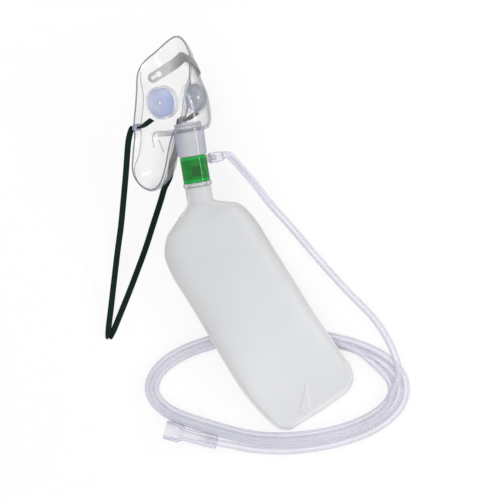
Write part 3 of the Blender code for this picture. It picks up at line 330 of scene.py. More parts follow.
# Degrees between the coil's points, the steps that the riser and the coil are read with, and
# the straight stretch that the tube leaves its socket with
COIL_STEP = 10.0
RISER_STEP = 2.5
ROUTE_STEP = 4.0
RISER_LEAD = 5.0
CONNECTOR_AT = Vector((-54.4, -162.9, 8.8))
CONNECTOR_TOWARDS = Vector((-8.7, -174.7, 6.2))
CONNECTOR_LENGTH = 44.8
TAIL_INSIDE = 9.6

# Inside the green collar, down the port's axis and across it in metres: the stretch between
# its bright rims, the inlet body's core and its dark panel, and how soft their ends are
COLLAR_INSIDE = (0.0243, 0.0408)
COLLAR_CORE = (0.0300, 0.0385)
COLLAR_PANEL = (-0.0049, 0.0029)
COLLAR_SOFT = 0.0006

# Reservoir bag: it starts and heads as in the CAD model. Its seam is narrower and its neck a
# little wider, as in the photograph
BAG_START = (-16.9, 15.0)
BAG_HEADING = 31.4
SEAM_WIDTH = 1.9
SEAM_THICK = 1.0
# The seam's widest share of the bag's half width, how full the films bulge, and how far and
# how often the film is smoothed
SEAM_SHARE = 0.35
FILM_BULGE = 0.8
FILM_SOFTNESS = 0.5
FILM_SMOOTHINGS = 5
RING_END = 46.7
SPIGOT_LENGTH = 11.0
NECK_RADIUS = 10.8
# Stations along the bag: distance down its heading, near edge, far edge, its middle plane's
# height, its rise and its fall. Only the fall differs from the CAD model: it's less over the coil
BAG_STATIONS = (
    (6.0, -47.6, 29.6, 26.5, 14.5, 14.5),
    (22.0, -51.5, 32.8, 22.6, 17.0, 17.0),
    (44.0, -51.7, 32.9, 19.6, 17.8, 17.8),
    (66.0, -51.7, 33.2, 18.9, 17.6, 16.0),
    (90.0, -52.0, 33.5, 21.6, 15.4, 10.6),
    (112.0, -52.3, 33.7, 21.2, 14.0, 9.0),
    (132.0, -52.3, 34.8, 18.0, 12.0, 7.6),
    (152.0, -50.6, 35.6, 12.6, 9.0, 5.4),
    (168.0, -47.6, 36.6, 7.6, 5.4, 5.4),
    (178.0, -44.6, 34.0, 4.2, 3.0, 3.0),
    (184.5, -40.6, 27.0, 2.0, 1.4, 1.4),
    (188.5, -35.0, -6.0, 1.0, 0.5, 0.5),
)
# Stations of its neck, set by the photograph: point, half width and half thickness
BAG_NECK = (
    (-22.4, 26.0, 40.6, 14.2, 11.0),
    (-22.2, 22.5, 38.0, 19.8, 11.6),
    (-22.4, 18.5, 35.2, 25.6, 12.4),
    (-23.5, 13.8, 32.2, 31.9, 13.4),
)
BAG_FILM_STEPS = 44
# The welded seam's relief from its outer edge inward, as a share of its half thickness
SEAM_RELIEF = (0.5, 1.2, 0.6, 1.1, 0.7)
SEAM_POINTS = len(SEAM_RELIEF)
NECK_DEPTHS = (0.0, 4.0, 8.0, SPIGOT_LENGTH + 1.0)
BAG_LENGTH_STEPS = 110
# Turns between faces under this many degrees are shaded smooth: on the CAD's round pieces, on
# small pieces, on sheets and on the valve discs
ROUND_LOOK_ANGLE = 25.0
PIECE_ANGLE = 35.0
SHEET_ANGLE = 50.0
DISC_ANGLE = 60.0

# How much of a clear surface is mirror, by how edge on it's seen
SURFACE_SHINE = ((0.0, 0.045), (0.5, 0.07), (0.8, 0.22), (1.0, 0.6))

# Colours as linear values
VINYL = (0.52, 0.52, 0.48)
VINYL_TURNED = (0.34, 0.345, 0.37)
VINYL_EDGE = (0.13, 0.11, 0.24)
TINT_EDGE = (0.40, 0.39, 0.57)
TUBE_EDGE = (0.54, 0.53, 0.77)
GREEN = (0.014, 0.225, 0.034)
GREEN_RIM = (0.012, 0.36, 0.060)
GREEN_DEEP = (0.016, 0.110, 0.026)
RIM_TONE = (0.13, 0.11, 0.27)
RIM_EDGE = (0.05, 0.035, 0.14)
FLAP_COLOUR = (0.70, 0.74, 0.90)
# The far disc's colour is paler and bluer than the near one's: painted light for the shell's grey
# over it
FAR_DISC_LIT_COLOUR = (0.73, 0.78, 0.94)
FILM = (0.755, 0.763, 0.775)
FILM_ROUGHNESS = 0.42
ELASTIC = (0.004, 0.013, 0.0115)
METAL = (0.66, 0.66, 0.67)
FLOOR = (0.93, 0.93, 0.93)

# Clear mouldings: how rough, rippled and shiny each is, then its stops by how edge on it's
# seen, with place, colour and cover
CLEAR_LOOKS = {
    "clear_vinyl": (
        (0.13, 0.03, 0.8),
        (
            (0.0, VINYL, 0.03),
            (0.35, VINYL, 0.05),
            (0.62, VINYL_TURNED, 0.15),
            (0.86, VINYL_EDGE, 0.34),
            (1.0, VINYL_EDGE, 0.7),
        ),
    ),
    "rim_vinyl": (
        (0.12, 0.05, 0.8),
        ((0.0, RIM_TONE, 0.45), (0.4, RIM_TONE, 0.6), (1.0, RIM_EDGE, 0.9)),
    ),
    "seat_vinyl": (
        (0.1, 0.12, 0.8),
        (
            (0.0, (0.78, 0.80, 0.90), 0.10),
            (0.5, (0.66, 0.68, 0.84), 0.18),
            (0.8, (0.36, 0.36, 0.58), 0.5),
            (1.0, (0.20, 0.20, 0.40), 0.85),
        ),
    ),
    "lug_vinyl": (
        (0.06, 0.05, 1.0),
        (
            (0.0, (0.56, 0.58, 0.72), 0.5),
            (0.5, (0.34, 0.35, 0.50), 0.7),
            (1.0, (0.10, 0.09, 0.22), 0.9),
        ),
    ),
    "fold_vinyl": (
        (0.12, 0.0, 0.8),
        ((0.0, (0.24, 0.24, 0.32), 0.34), (1.0, (0.12, 0.11, 0.20), 0.7)),
    ),
    "tinted_plastic": (
        (0.05, 0.02, 1.0),
        (
            (0.0, (0.80, 0.81, 0.86), 0.50),
            (0.22, (0.74, 0.75, 0.83), 0.52),
            (0.45, (0.60, 0.60, 0.74), 0.6),
            (0.75, TINT_EDGE, 0.8),
            (1.0, TINT_EDGE, 0.95),
        ),
    ),
    "pale_plastic": (
        (0.05, 0.02, 1.0),
        (
            (0.0, (0.92, 0.92, 0.98), 0.18),
            (0.35, (0.82, 0.82, 0.96), 0.22),
            (0.6, (0.60, 0.58, 0.85), 0.36),
            (0.85, (0.24, 0.19, 0.47), 0.8),
            (1.0, (0.18, 0.14, 0.38), 0.95),
        ),
    ),
    "tube_vinyl": (
        (0.22, 0.0, 0.8),
        (
            (0.0, (0.95, 0.95, 0.99), 0.30),
            (0.07, (0.90, 0.90, 0.97), 0.36),
            (0.14, (0.44, 0.43, 0.66), 0.62),
            (0.22, (0.90, 0.90, 0.98), 0.40),
            (0.46, (0.88, 0.88, 0.98), 0.42),
            (0.72, TUBE_EDGE, 0.75),
            (1.0, TUBE_EDGE, 0.92),
        ),
    ),
    "clear_plastic": (
        (0.06, 0.12, 0.8),
        (
            (0.0, (0.82, 0.84, 0.84), 0.30),
            (0.5, (0.62, 0.64, 0.66), 0.42),
            (0.85, (0.24, 0.25, 0.34), 0.8),
            (1.0, (0.24, 0.25, 0.34), 0.9),
        ),
    ),
}
# The far cheek's seat is seen through the shell and shows less
FAR_SEAT_COVER = 0.25


def feed(tree, target, inputs):
    """Fill a node's inputs by name or number: a socket is linked and a value is set."""
    for key, value in inputs.items():
        socket = target.inputs[key]
        if isinstance(value, bpy.types.NodeSocket):
            tree.links.new(value, socket)
        elif socket.type == "RGBA":
            socket.default_value = (*value, 1.0)
        else:
            socket.default_value = value


def add_node(tree, kind, inputs, **settings):
    """A new shader node with its settings and inputs."""
    made = tree.nodes.new("ShaderNode" + kind)
    for key, value in settings.items():
        setattr(made, key, value)
    feed(tree, made, inputs)
    return made


def coordinate(tree, kind):
    """A place on the piece, by the kind of coordinate."""
    return add_node(tree, "TexCoord", {}).outputs[kind]


def material(name):
    """A new material with its tree and its Principled shader."""
    made = bpy.data.materials.new(name)
    made.use_nodes = True
    return made, made.node_tree, made.node_tree.nodes["Principled BSDF"]


def ramp(tree, source, stops):
    """A source's value turned into a colour or a grey, by stops of place and tone."""
    made = add_node(tree, "ValToRGB", {"Fac": source})
    points = made.color_ramp.elements
    while len(points) < len(stops):
        points.new(0.5)
    for point, (place, value) in zip(points, stops):
        point.position = place
        colour = value if isinstance(value, tuple) else (value,) * 3
        point.color = (*colour, 1.0)
    return made.outputs["Color"]


def cloud(tree, scale, detail, stretch=(1.0, 1.0, 1.0)):
    """Noise in the piece's own axes, with the scale per metre."""
    fed = {"Vector": coordinate(tree, "Object"), "Scale": stretch}
    mapping = add_node(tree, "Mapping", fed)
    fed = {"Vector": mapping.outputs["Vector"], "Scale": scale, "Detail": detail}
    return add_node(tree, "TexNoise", fed).outputs["Fac"]


def relief(tree, height, strength, distance):
    """Normals that follow a height."""
    fed = {"Height": height, "Strength": strength, "Distance": distance}
    return add_node(tree, "Bump", fed).outputs["Normal"]


def calculated(tree, operation, first, second):
    """The outcome of one operation on two values."""
    return add_node(tree, "Math", {0: first, 1: second}, operation=operation).outputs["Value"]


def mixed(tree, factor, first, second, way="MIX"):
    """Two colours mixed or multiplied, by a factor."""
    fed = {"Factor": factor, 6: first, 7: second}
    return add_node(tree, "Mix", fed, data_type="RGBA", blend_type=way).outputs[2]


def mottled(tree, colour, deep, grain, low=0.3):
    """A colour that turns to a deeper share of itself where the grain is low."""
    return ramp(tree, grain, ((low, tuple(v * deep for v in colour)), (1.0 - low, colour)))


def shaded(tree, colour, stops, way="X"):
    """A colour made deeper or paler along a piece's own width or length: painted light and shade.
    """
    split = add_node(tree, "SeparateXYZ", {"Vector": coordinate(tree, "Generated")})
    return mixed(tree, 1.0, colour, ramp(tree, split.outputs[way], stops), "MULTIPLY")


def show_mix(tree, share, first, second):
    """Show two shaders mixed by a share."""
    surface = add_node(tree, "MixShader", {"Fac": share, 1: first, 2: second})
    feed(tree, tree.nodes["Material Output"], {"Surface": surface.outputs["Shader"]})


def clear_material(name, look, share=1.0):
    """A clear moulding by its look, with a share of its full cover."""
    (roughness, ripple, shine), stops = CLEAR_LOOKS[look]
    made, tree, shader = material(name)
    facing = add_node(tree, "LayerWeight", {"Blend": 0.5}).outputs["Facing"]
    tone = ramp(tree, facing, [(place, colour) for place, colour, _ in stops])
    dusk = ramp(tree, cloud(tree, scale=38.0, detail=3.0), ((0.3, 0.88), (0.7, 1.0)))
    normals = relief(tree, cloud(tree, scale=110.0, detail=2.0), ripple, 0.6 * MM)
    fed = {
        "Base Color": mixed(tree, 1.0, tone, dusk, "MULTIPLY"),
        "Alpha": ramp(tree, facing, [(place, cover * share) for place, _, cover in stops]),
        "Roughness": 0.5,
        "Specular IOR Level": 0.0,
        "Normal": normals,
    }
    feed(tree, shader, fed)
    glossy = add_node(tree, "BsdfGlossy", {"Roughness": roughness, "Normal": normals})
    mirror = ramp(tree, facing, [(place, value * shine) for place, value in SURFACE_SHINE])
    show_mix(tree, mirror, shader.outputs["BSDF"], glossy.outputs["BSDF"])
    return made


def along_axis(tree, direction):
    """How far a point lies from the port's centre along a direction, in metres."""
    fed = {0: coordinate(tree, "Object"), 1: PORT_AT * MM}
    shift = add_node(tree, "VectorMath", fed, operation="SUBTRACT")
    fed = {0: shift.outputs["Vector"], 1: direction}
    return add_node(tree, "VectorMath", fed, operation="DOT_PRODUCT").outputs["Value"]


def soft_step(tree, value, place, before, after):
    """A soft step at a distance, from the level before it to the level after it."""
    fed = {
        "Value": value,
        "From Min": place - COLLAR_SOFT,
        "From Max": place + COLLAR_SOFT,
        "To Min": before,
        "To Max": after,
    }
    return add_node(tree, "MapRange", fed, interpolation_type="SMOOTHSTEP").outputs["Result"]


def band(tree, value, start, end):
    """1 between two distances and 0 outside them, with soft ends."""
    rise = soft_step(tree, value, start, 0.0, 1.0)
    return calculated(tree, "MULTIPLY", rise, soft_step(tree, value, end, 1.0, 0.0))


def green_plastic():
    """Clear green sleeve: bright at its rims, deep where the inlet body shows inside."""
    made, tree, shader = material("green_plastic")
    down = along_axis(tree, PORT_AXIS)
    across = along_axis(tree, PORT_AXIS.cross(UP).normalized())
    inner = band(tree, down, *COLLAR_INSIDE)
    core = band(tree, down, *COLLAR_CORE)
    panel = calculated(tree, "MULTIPLY", core, band(tree, across, *COLLAR_PANEL))
    mottle = mottled(tree, GREEN, 0.8, cloud(tree, scale=240.0, detail=3.0), 0.35)
    body = mixed(tree, inner, GREEN_RIM, mottle)
    fed = {
        "Base Color": mixed(tree, panel, body, GREEN_DEEP),
        "Roughness": 0.6,
        "Specular IOR Level": 0.0,
        "Coat Weight": 0.55,
        "Coat Roughness": 0.02,
    }
    feed(tree, shader, fed)
    return made


def valve_rubber(name, colour, shade):
    """Soft translucent disc with a faint bloom and painted shade across it."""
    made, tree, shader = material(name)
    mottle = mottled(tree, colour, 0.86, cloud(tree, scale=90.0, detail=3.0))
    fed = {
        "Base Color": shaded(tree, mottle, shade),
        "Roughness": 0.32,
        "Alpha": 0.93,
        "Subsurface Weight": 0.15,
        "Subsurface Radius": (0.002, 0.002, 0.003),
    }
    feed(tree, shader, fed)
    return made


def brushed_metal():
    """Brushed soft aluminium, with its grain along the strip and painted shade across it, darkest
    at the bend.
    """
    made, tree, shader = material("clip_aluminium")
    grain = cloud(tree, scale=260.0, detail=6.0, stretch=(1.0, 9.0, 9.0))
    fed = {
        # Painted shade across the strip, darkest at the bend
        "Base Color": shaded(tree, mottled(tree, METAL, 0.86, grain), CLIP_PAINTED_SHADE),
        "Roughness": ramp(tree, grain, ((0.3, 0.28), (0.7, 0.46))),
        "Metallic": 0.55,
        "Normal": relief(tree, grain, strength=0.2, distance=0.2 * MM),
    }
    feed(tree, shader, fed)
    return made


def bag_film():
    """Frosted film: almost white, with soft creases and painted light, paler at its far end than
    at its neck.
    """
    made, tree, shader = material("bag_film")
    tone = mottled(tree, FILM, 0.93, cloud(tree, scale=14.0, detail=4.0))
    crease = cloud(tree, scale=55.0, detail=3.0)
    fed = {
        # Painted light down the bag: paler at its far end than at its neck
        "Base Color": shaded(tree, tone, FILM_PAINTED_LIGHT, "Y"),
        "Roughness": FILM_ROUGHNESS,
        "Alpha": 0.97,
        "Sheen Weight": 0.1,
        "Normal": relief(tree, crease, strength=0.12, distance=1.2 * MM),
    }
    feed(tree, shader, fed)
    return made


def film_line(name, tone):
    """A line on the film, as a share of the film's own tone: painted shade below one, painted
    highlight above it.
    """
    made, tree, shader = material(name)
    colour = tuple(min(v * tone, 1.0) for v in FILM)
    shade = mottled(tree, colour, 0.96, cloud(tree, scale=120.0, detail=3.0))
    feed(tree, shader, {"Base Color": shade, "Roughness": FILM_ROUGHNESS})
    return made


def waves(tree, direction, scale, distortion):
    """Bands across a direction of the strap's own length and width."""
    fed = {"Vector": coordinate(tree, "UV"), "Scale": scale, "Distortion": distortion}
    made = add_node(tree, "TexWave", fed, wave_type="BANDS", bands_direction=direction)
    return made.outputs["Fac"]


def woven_elastic():
    """Dark knitted elastic: ribs along it and picks across it."""
    made, tree, shader = material("strap_elastic")
    picks = waves(tree, "Y", scale=5.0, distortion=0.6)
    ribs = waves(tree, "X", scale=1.6, distortion=0.0)
    height = calculated(tree, "ADD", picks, ribs)
    mean = calculated(tree, "MULTIPLY", height, 0.5)
    pale = tuple(v * 2.0 for v in ELASTIC)
    fed = {
        "Base Color": ramp(tree, mean, ((0.2, ELASTIC), (1.0, pale))),
        "Roughness": 0.8,
        "Specular IOR Level": 0.12,
        "Sheen Weight": 0.03,
        "Sheen Roughness": 0.5,
        "Normal": relief(tree, height, strength=0.4, distance=0.3 * MM),
    }
    feed(tree, shader, fed)
    return made


def add(name, mesh, finish, body, replaced=()):
    """Link a piece, give it its finish and let it ride on its body."""
    item = bpy.data.objects.new(name, mesh)
    bpy.context.scene.collection.objects.link(item)
    item.data.materials.append(finish)
    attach(item, body)
    if replaced:
        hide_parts(*replaced)
    return item


def mesh_of(name, points, faces):
    """A mesh of points in millimetres."""
    mesh = bpy.data.meshes.new(name)
    mesh.from_pydata([Vector(p) * MM for p in points], [], faces)
    mesh.update()
    return mesh


def smooth(item, angle=PIECE_ANGLE):
    """Smooth shading with the sharp edges kept."""
    item.data.shade_smooth()
    item.data.set_sharp_from_angle(angle=math.radians(angle))


def outward(mesh):
    """Turn a closed mesh's faces outward."""
    work = bmesh.new()
    work.from_mesh(mesh)
    bmesh.ops.recalc_face_normals(work, faces=work.faces)
    work.to_mesh(mesh)
    work.free()


def round_look():
    """A modifier tree that shades small turns smooth and keeps the sharp edges."""
    tree = bpy.data.node_groups.new("round_look", "GeometryNodeTree")
    for way in ("INPUT", "OUTPUT"):
        tree.interface.new_socket("Geometry", in_out=way, socket_type="NodeSocketGeometry")
    nodes, links = tree.nodes, tree.links
    weld = nodes.new("GeometryNodeMergeByDistance")
    weld.inputs["Distance"].default_value = 0.01 * MM
    forget = nodes.new("GeometryNodeRemoveAttribute")
    forget.inputs["Name"].default_value = "custom_normal"
    soft = nodes.new("GeometryNodeSetShadeSmooth")
    sharp = nodes.new("GeometryNodeSetShadeSmooth")
    sharp.domain = "EDGE"
    sharp.inputs["Shade Smooth"].default_value = False
    turn = nodes.new("GeometryNodeInputMeshEdgeAngle")
    above = nodes.new("FunctionNodeCompare")
    above.inputs[1].default_value = math.radians(ROUND_LOOK_ANGLE)
    links.new(turn.outputs[0], above.inputs[0])
    links.new(above.outputs[0], sharp.inputs["Selection"])
    chain = [nodes.new("NodeGroupInput"), weld, forget, soft, sharp, nodes.new("NodeGroupOutput")]
    for before, after in zip(chain, chain[1:]):
        links.new(before.outputs[0], after.inputs[0])
    return tree


def settled(item):
    """Apply a piece's modifiers to its mesh."""
    view = item.evaluated_get(bpy.context.evaluated_depsgraph_get())
    mesh = bpy.data.meshes.new_from_object(view)
    item.modifiers.clear()
    item.data = mesh
    return item


def table_row(rows, place):
    """One row between the table's own rows, by a monotone cubic."""
    rows = np.asarray(rows, dtype=float)
    low = int(min(max(math.floor(place), 0), len(rows) - 2))
    part = place - low
    steps = np.diff(rows, axis=0)

    def slope(i):
        if i == 0:
            return steps[0]
        if i == len(rows) - 1:
            return steps[-1]
        before, after = steps[i - 1], steps[i]
        same = before * after > 0.0
        return np.where(same, 2.0 * before * after / np.where(same, before + after, 1.0), 0.0)

    square, cube = part * part, part**3
    return (
        (2 * cube - 3 * square + 1) * rows[low]
        + (cube - 2 * square + part) * slope(low)
        + (3 * square - 2 * cube) * rows[low + 1]
        + (cube - square) * slope(low + 1)
    )


def between(before, start, end, after, t):
    """A point of one smooth curve through four points, a share of the way from start to end."""
    return 0.5 * (
        2 * start
        + (end - before) * t
        + (2 * before - 5 * start + 4 * end - after) * t * t
        + (3 * start - before - 3 * end + after) * t**3
    )


def curve_through(points, step):
    """Points about a step apart on one smooth curve through the given points."""
    route = [Vector(p) for p in points]
    ends = [2 * route[0] - route[1], *route, 2 * route[-1] - route[-2]]
    found = []
    for i in range(1, len(ends) - 2):
        four = ends[i - 1 : i + 3]
        pieces = max(1, round((four[2] - four[1]).length / step))
        found += [between(*four, k / pieces) for k in range(pieces)]
    found.append(route[-1])
    return found


def mask_directions():
    """The wearer's right, the front and the crown as directions on the table."""
    yaw = math.radians(MASK_YAW)
    lean = math.radians(MASK_LEAN)
    pitch = Matrix.Rotation(math.radians(MASK_PITCH), 3, "X")
    crown = pitch @ Vector((math.sin(lean), math.cos(lean), 0.0))
    front = pitch @ Vector(
        (math.sin(yaw) * math.cos(lean), -math.sin(yaw) * math.sin(lean), math.cos(yaw))
    )
    return front.cross(crown), front, crown


RIGHT, FRONT, CROWN = mask_directions()
PORT_AXIS = FRONT * math.sin(math.radians(PORT_TILT)) - CROWN * math.cos(math.radians(PORT_TILT))


def in_frame(point):
    """A point of the mask's own frame in the row's frame."""
    x, y, z = point
    return PORT_AT + RIGHT * x + FRONT * y + CROWN * z


def port_plane(y):
    """How high the port's plane lies at a forward place, in the mask's frame."""
    return (y - PORT_FORWARD) * math.tan(math.radians(PORT_TILT))


def face_point(place, across):
    """A point of the face's inner side, as in the CAD model, in the mask's frame."""
    z_rim, width, y_rim, flange, step, z_mid, y_mid, roundness = table_row(MASK_ROWS, place)
    foot_x = width - flange
    foot_y = y_rim + step
    if across <= 0.0:
        return Vector((foot_x - flange * across, foot_y + step * across - PORT_FORWARD, z_rim))
    turn = across * math.pi / 2.0
    power = 2.0 / roundness
    x = foot_x * max(math.cos(turn), 0.0) ** power if across < 1.0 else 0.0
    forward = math.sin(turn) ** power
    y = foot_y + (y_mid - foot_y) * forward
    z = z_rim + (z_mid - z_rim) * forward
    if PORT_ROWS[0] <= place <= PORT_ROWS[1]:
        reach = math.hypot(x, y - PORT_FORWARD)
        inner, outer = PORT_FLAT_RADII
        weight = min(max((outer - reach) / (outer - inner), 0.0), 1.0)
        edge = min(place - PORT_ROWS[0], PORT_ROWS[1] - place, 0.5) / 0.5
        weight = weight * weight * (3.0 - 2.0 * weight) * edge
        z += (port_plane(y) - z) * weight
    return Vector((x, y - PORT_FORWARD, z))


def turned_mesh(name, profile, steps, place=IDENTITY):
    """A closed profile of radius and height turned about a placement's z axis."""
    points = []
    rings = []
    for radius, height in profile:
        if radius < 0.001:
            rings.append([len(points)])
            points.append((0.0, 0.0, height))
            continue
        rings.append(list(range(len(points), len(points) + steps)))
        for k in range(steps):
            angle = 2.0 * math.pi * k / steps
            points.append((radius * math.cos(angle), radius * math.sin(angle), height))
    faces = []
    count = len(rings)
    for i in range(count):
        here, there = rings[i], rings[(i + 1) % count]
        if len(here) == 1 and len(there) == 1:
            continue
        for k in range(steps):
            after = (k + 1) % steps
            if len(here) == 1:
                faces.append((here[0], there[k], there[after]))
            elif len(there) == 1:
                faces.append((here[k], there[0], here[after]))
            else:
                faces.append((here[k], there[k], there[after], here[after]))
    mesh = mesh_of(name, points, faces)
    mesh.transform(place)
    outward(mesh)
    return mesh


def tool(name, mesh):
    """A guide that other shapes are made with, removed after use."""
    item = bpy.data.objects.new(name, mesh)
    bpy.context.scene.collection.objects.link(item)
    return item


def taken(item):
    """A guide's mesh, with the guide removed."""
    mesh = item.data
    bpy.data.objects.remove(item, do_unlink=True)
    return mesh


def cut(item, mesh):
    """Cut a shape out with an exact Boolean and keep the result."""
    guide = tool("guide", mesh)
    step = item.modifiers.new("cut", "BOOLEAN")
    step.operation = "DIFFERENCE"
    step.solver = "EXACT"
    step.object = guide
    settled(item)
    bpy.data.objects.remove(guide, do_unlink=True)


def camera_and_light():
    """The photograph's camera and plain soft light: the world's grey and the lamps."""
    scene = bpy.context.scene
    lens = bpy.data.cameras.new("camera")
    lens.lens = LENS
    lens.sensor_width = SENSOR
    lens.clip_end = LENS_REACH
    camera = bpy.data.objects.new("camera", lens)
    camera.location = Vector(EYE) * MM
    scene.collection.objects.link(camera)
    scene.camera = camera
    scene.view_settings.view_transform = "Standard"

    world = bpy.data.worlds.new("studio")
    scene.world = world
    world.use_nodes = True
    tree = world.node_tree
    split = add_node(tree, "SeparateXYZ", {"Vector": coordinate(tree, "Generated")})
    fed = {"Color": ramp(tree, split.outputs["Z"], SKY), "Strength": SKY_STRENGTH}
    feed(tree, tree.nodes["Background"], fed)

    for name, at, size, power in LIGHTS:
        lamp = bpy.data.lights.new(name, "AREA")
        lamp.shape = "RECTANGLE"
        lamp.size, lamp.size_y = size
        lamp.energy = power
        item = bpy.data.objects.new(name, lamp)
        item.location = at
        item.rotation_euler = (LIGHT_TARGET - Vector(at)).to_track_quat("-Z", "X").to_euler()
        scene.collection.objects.link(item)


def floor():
    """The white surface the mask lies on."""
    half = FLOOR_HALF
    mesh = bpy.data.meshes.new("floor")
    corners = [(-half, -half, 0.0), (half, -half, 0.0), (half, half, 0.0), (-half, half, 0.0)]
    mesh.from_pydata(corners, [], [(0, 1, 2, 3)])
    item = tool("floor", mesh)
    made, tree, shader = material("floor_white")
    feed(tree, shader, {"Base Color": FLOOR, "Roughness": 1.0, "Specular IOR Level": 0.0})
    glow = add_node(tree, "Emission", {"Color": (1.0, 1.0, 1.0)})
    ray = add_node(tree, "LightPath", {}).outputs
    seen = calculated(tree, "MAXIMUM", ray["Is Camera Ray"], ray["Is Transmission Ray"])
    share = calculated(tree, "MULTIPLY", seen, FLOOR_GLOW)
    show_mix(tree, share, shader.outputs["BSDF"], glow.outputs["Emission"])
    mesh.materials.append(made)


def coil_point(angle, offset, height):
    """A point of a strand by its angle round the coil, its offset out and its height."""
    turn = math.radians(angle)
    spot = Vector(
        (
            COIL_CENTRE[0] + COIL_HALF_LENGTH * math.cos(turn),
            COIL_CENTRE[1] + COIL_HALF_WIDTH * math.sin(turn),
            height,
        )
    )
    away = Vector((COIL_HALF_WIDTH * math.cos(turn), COIL_HALF_LENGTH * math.sin(turn), 0.0))
    return spot + away.normalized() * offset


def round_curve(name, points, radius, resolution, closed=False):
    """A round bar's curve along points."""
    curve = bpy.data.curves.new(name, "CURVE")
    curve.dimensions = "3D"
    curve.bevel_depth = radius * MM
    curve.bevel_resolution = resolution
    curve.use_fill_caps = not closed
    spline = curve.splines.new("POLY")
    spline.points.add(len(points) - 1)
    for item, point in zip(spline.points, points):
        item.co = (*(point * MM), 1.0)
    spline.use_cyclic_u = closed
    spline.use_smooth = True
    return curve


def supply_tube(finish):
    """The tube: from the side inlet down to the table, round the coil and to its connector."""
    level = math.sqrt(1.0 - NIPPLE_LIFT**2)
    side = Vector((level, level * PORT_AXIS.x / -PORT_AXIS.y, NIPPLE_LIFT))
    side = (side - PORT_AXIS * side.dot(PORT_AXIS)).normalized()
    leave = PORT_AT + PORT_AXIS * NIPPLE_AT + side * SOCKET_END
    points = curve_through([leave, leave + side * RISER_LEAD, *RISER_ROUTE], RISER_STEP)[:-1]
    rows = np.array(COIL_LAY)
    swept = np.arange(rows[0, 0], rows[-1, 0], -COIL_STEP)
    places = np.interp(-swept, -rows[:, 0], np.arange(len(rows)))
    coil = [coil_point(a, *table_row(rows, place)[1:]) for a, place in zip(swept, places)]
    along = (CONNECTOR_TOWARDS - CONNECTOR_AT).normalized()
    inside = CONNECTOR_AT + along * (CONNECTOR_LENGTH - TAIL_INSIDE)
    leave_grip = CONNECTOR_AT + along * (CONNECTOR_LENGTH + 1.0)
    tail = [*(Vector(p) for p in TAIL_ROUTE), leave_grip, inside]
    points = points[:-1] + curve_through([*points[-1:], *coil, *tail], ROUTE_STEP)
    curve = round_curve("supply_tube", points, TUBE_RADIUS, TUBE_ROUNDNESS)
    replaced = ("oxygen_tube", "tube_coil", "tube_tail")
    piece = add("supply_tube", curve, finish, "supply", replaced)


def lens_ring(centre, lateral, near, far, rise, fall):
    """A ring round the bag: two films that bulge between flat welded seams."""
    middle = (near + far) / 2.0
    reach = (far - near) / 2.0
    seam = min(SEAM_WIDTH, reach * SEAM_SHARE)
    edge = SEAM_THICK / 2.0
    ring = []
    for sign, bulge in ((1.0, rise), (-1.0, fall)):
        row = []
        for k, height in enumerate(SEAM_RELIEF):
            row.append((reach - seam * k / SEAM_POINTS, edge * height))
        for k in range(BAG_FILM_STEPS + 1):
            turn = math.pi * k / BAG_FILM_STEPS
            lift = max(bulge - edge, 0.0) * math.sin(turn) ** FILM_BULGE
            row.append(((reach - seam) * math.cos(turn), edge + lift))
        for k, height in reversed(list(enumerate(SEAM_RELIEF))):
            row.append((seam * k / SEAM_POINTS - reach, edge * height))
        ring += [(w, h * sign) for w, h in (row if sign > 0.0 else reversed(row))]
    return [centre + lateral * (middle + w) + UP * h for w, h in ring]


def oval_ring(centre, along, lateral, wide, deep):
    """A plain oval ring with as many points as a lens ring."""
    upward = lateral.cross(along).normalized()
    if upward.z < 0.0:
        upward = -upward
    count = 2 * (2 * SEAM_POINTS + BAG_FILM_STEPS + 1)
    ring = []
    for i in range(count):
        turn = 2.0 * math.pi * (i + 0.5) / count
        ring.append(centre + lateral * wide * math.cos(turn) + upward * deep * math.sin(turn))
    return ring


def reservoir_bag(finish):
    """The film bag: a round neck over the spigot, then two films welded at the edges."""
    heading = math.radians(BAG_HEADING)
    down = Vector((math.sin(heading), -math.cos(heading), 0.0))
    lateral = Vector((math.cos(heading), math.sin(heading), 0.0))
    start = Vector((*BAG_START, 0.0))
    neck_side = UP.cross(PORT_AXIS).normalized()
    keys = []
    for depth in NECK_DEPTHS:
        centre = PORT_AT + PORT_AXIS * (RING_END + FLAP_GAP + depth)
        keys.append(oval_ring(centre, PORT_AXIS, neck_side, NECK_RADIUS, NECK_RADIUS))
    for i, (x, y, z, wide, deep) in enumerate(BAG_NECK):
        share = (i + 1.0) / (len(BAG_NECK) + 1.0)
        side = neck_side.lerp(lateral, share).normalized()
        flow = PORT_AXIS.lerp(down, share).normalized()
        keys.append(oval_ring(Vector((x, y, z)), flow, side, wide, deep))
    for reach, near, far, height, rise, fall in BAG_STATIONS:
        centre = start + down * reach + Vector((0.0, 0.0, height))
        keys.append(lens_ring(centre, lateral, near, far, rise, fall))
    around = len(keys[0])
    table = np.array([[value for point in ring for value in point] for ring in keys])
    points = []
    for i in range(BAG_LENGTH_STEPS):
        place = (len(keys) - 1.0) * i / (BAG_LENGTH_STEPS - 1.0)
        points += [tuple(p) for p in table_row(table, place).reshape(around, 3)]
    mesh = mesh_of("reservoir_bag_film", points, ring_faces(BAG_LENGTH_STEPS, around))
    outward(mesh)
    piece = add("reservoir_bag_film", mesh, finish, "supply", ("reservoir_bag",))
    soften = piece.modifiers.new("soften", "SMOOTH")
    soften.factor = FILM_SOFTNESS
    soften.iterations = FILM_SMOOTHINGS
    settled(piece)
    smooth(piece, SHEET_ANGLE)
    return piece


def ring_faces(rings, around):
    """Faces of a tube of rings, with its ends capped."""
    faces = []
    for ring in range(rings - 1):
        here, there = ring * around, (ring + 1) * around
        for k in range(around):
            after = (k + 1) % around
            faces.append((here + k, here + after, there + after, there + k))
    faces.append(tuple(reversed(range(around))))
    faces.append(tuple((rings - 1) * around + k for k in range(around)))
    return faces


def mask_placement():
    """The mask's own axes in the row's frame."""
    turn = Matrix((RIGHT, FRONT, CROWN)).transposed().to_4x4()
    return Matrix.Translation(PORT_AT * MM) @ turn


MASK = mask_placement()


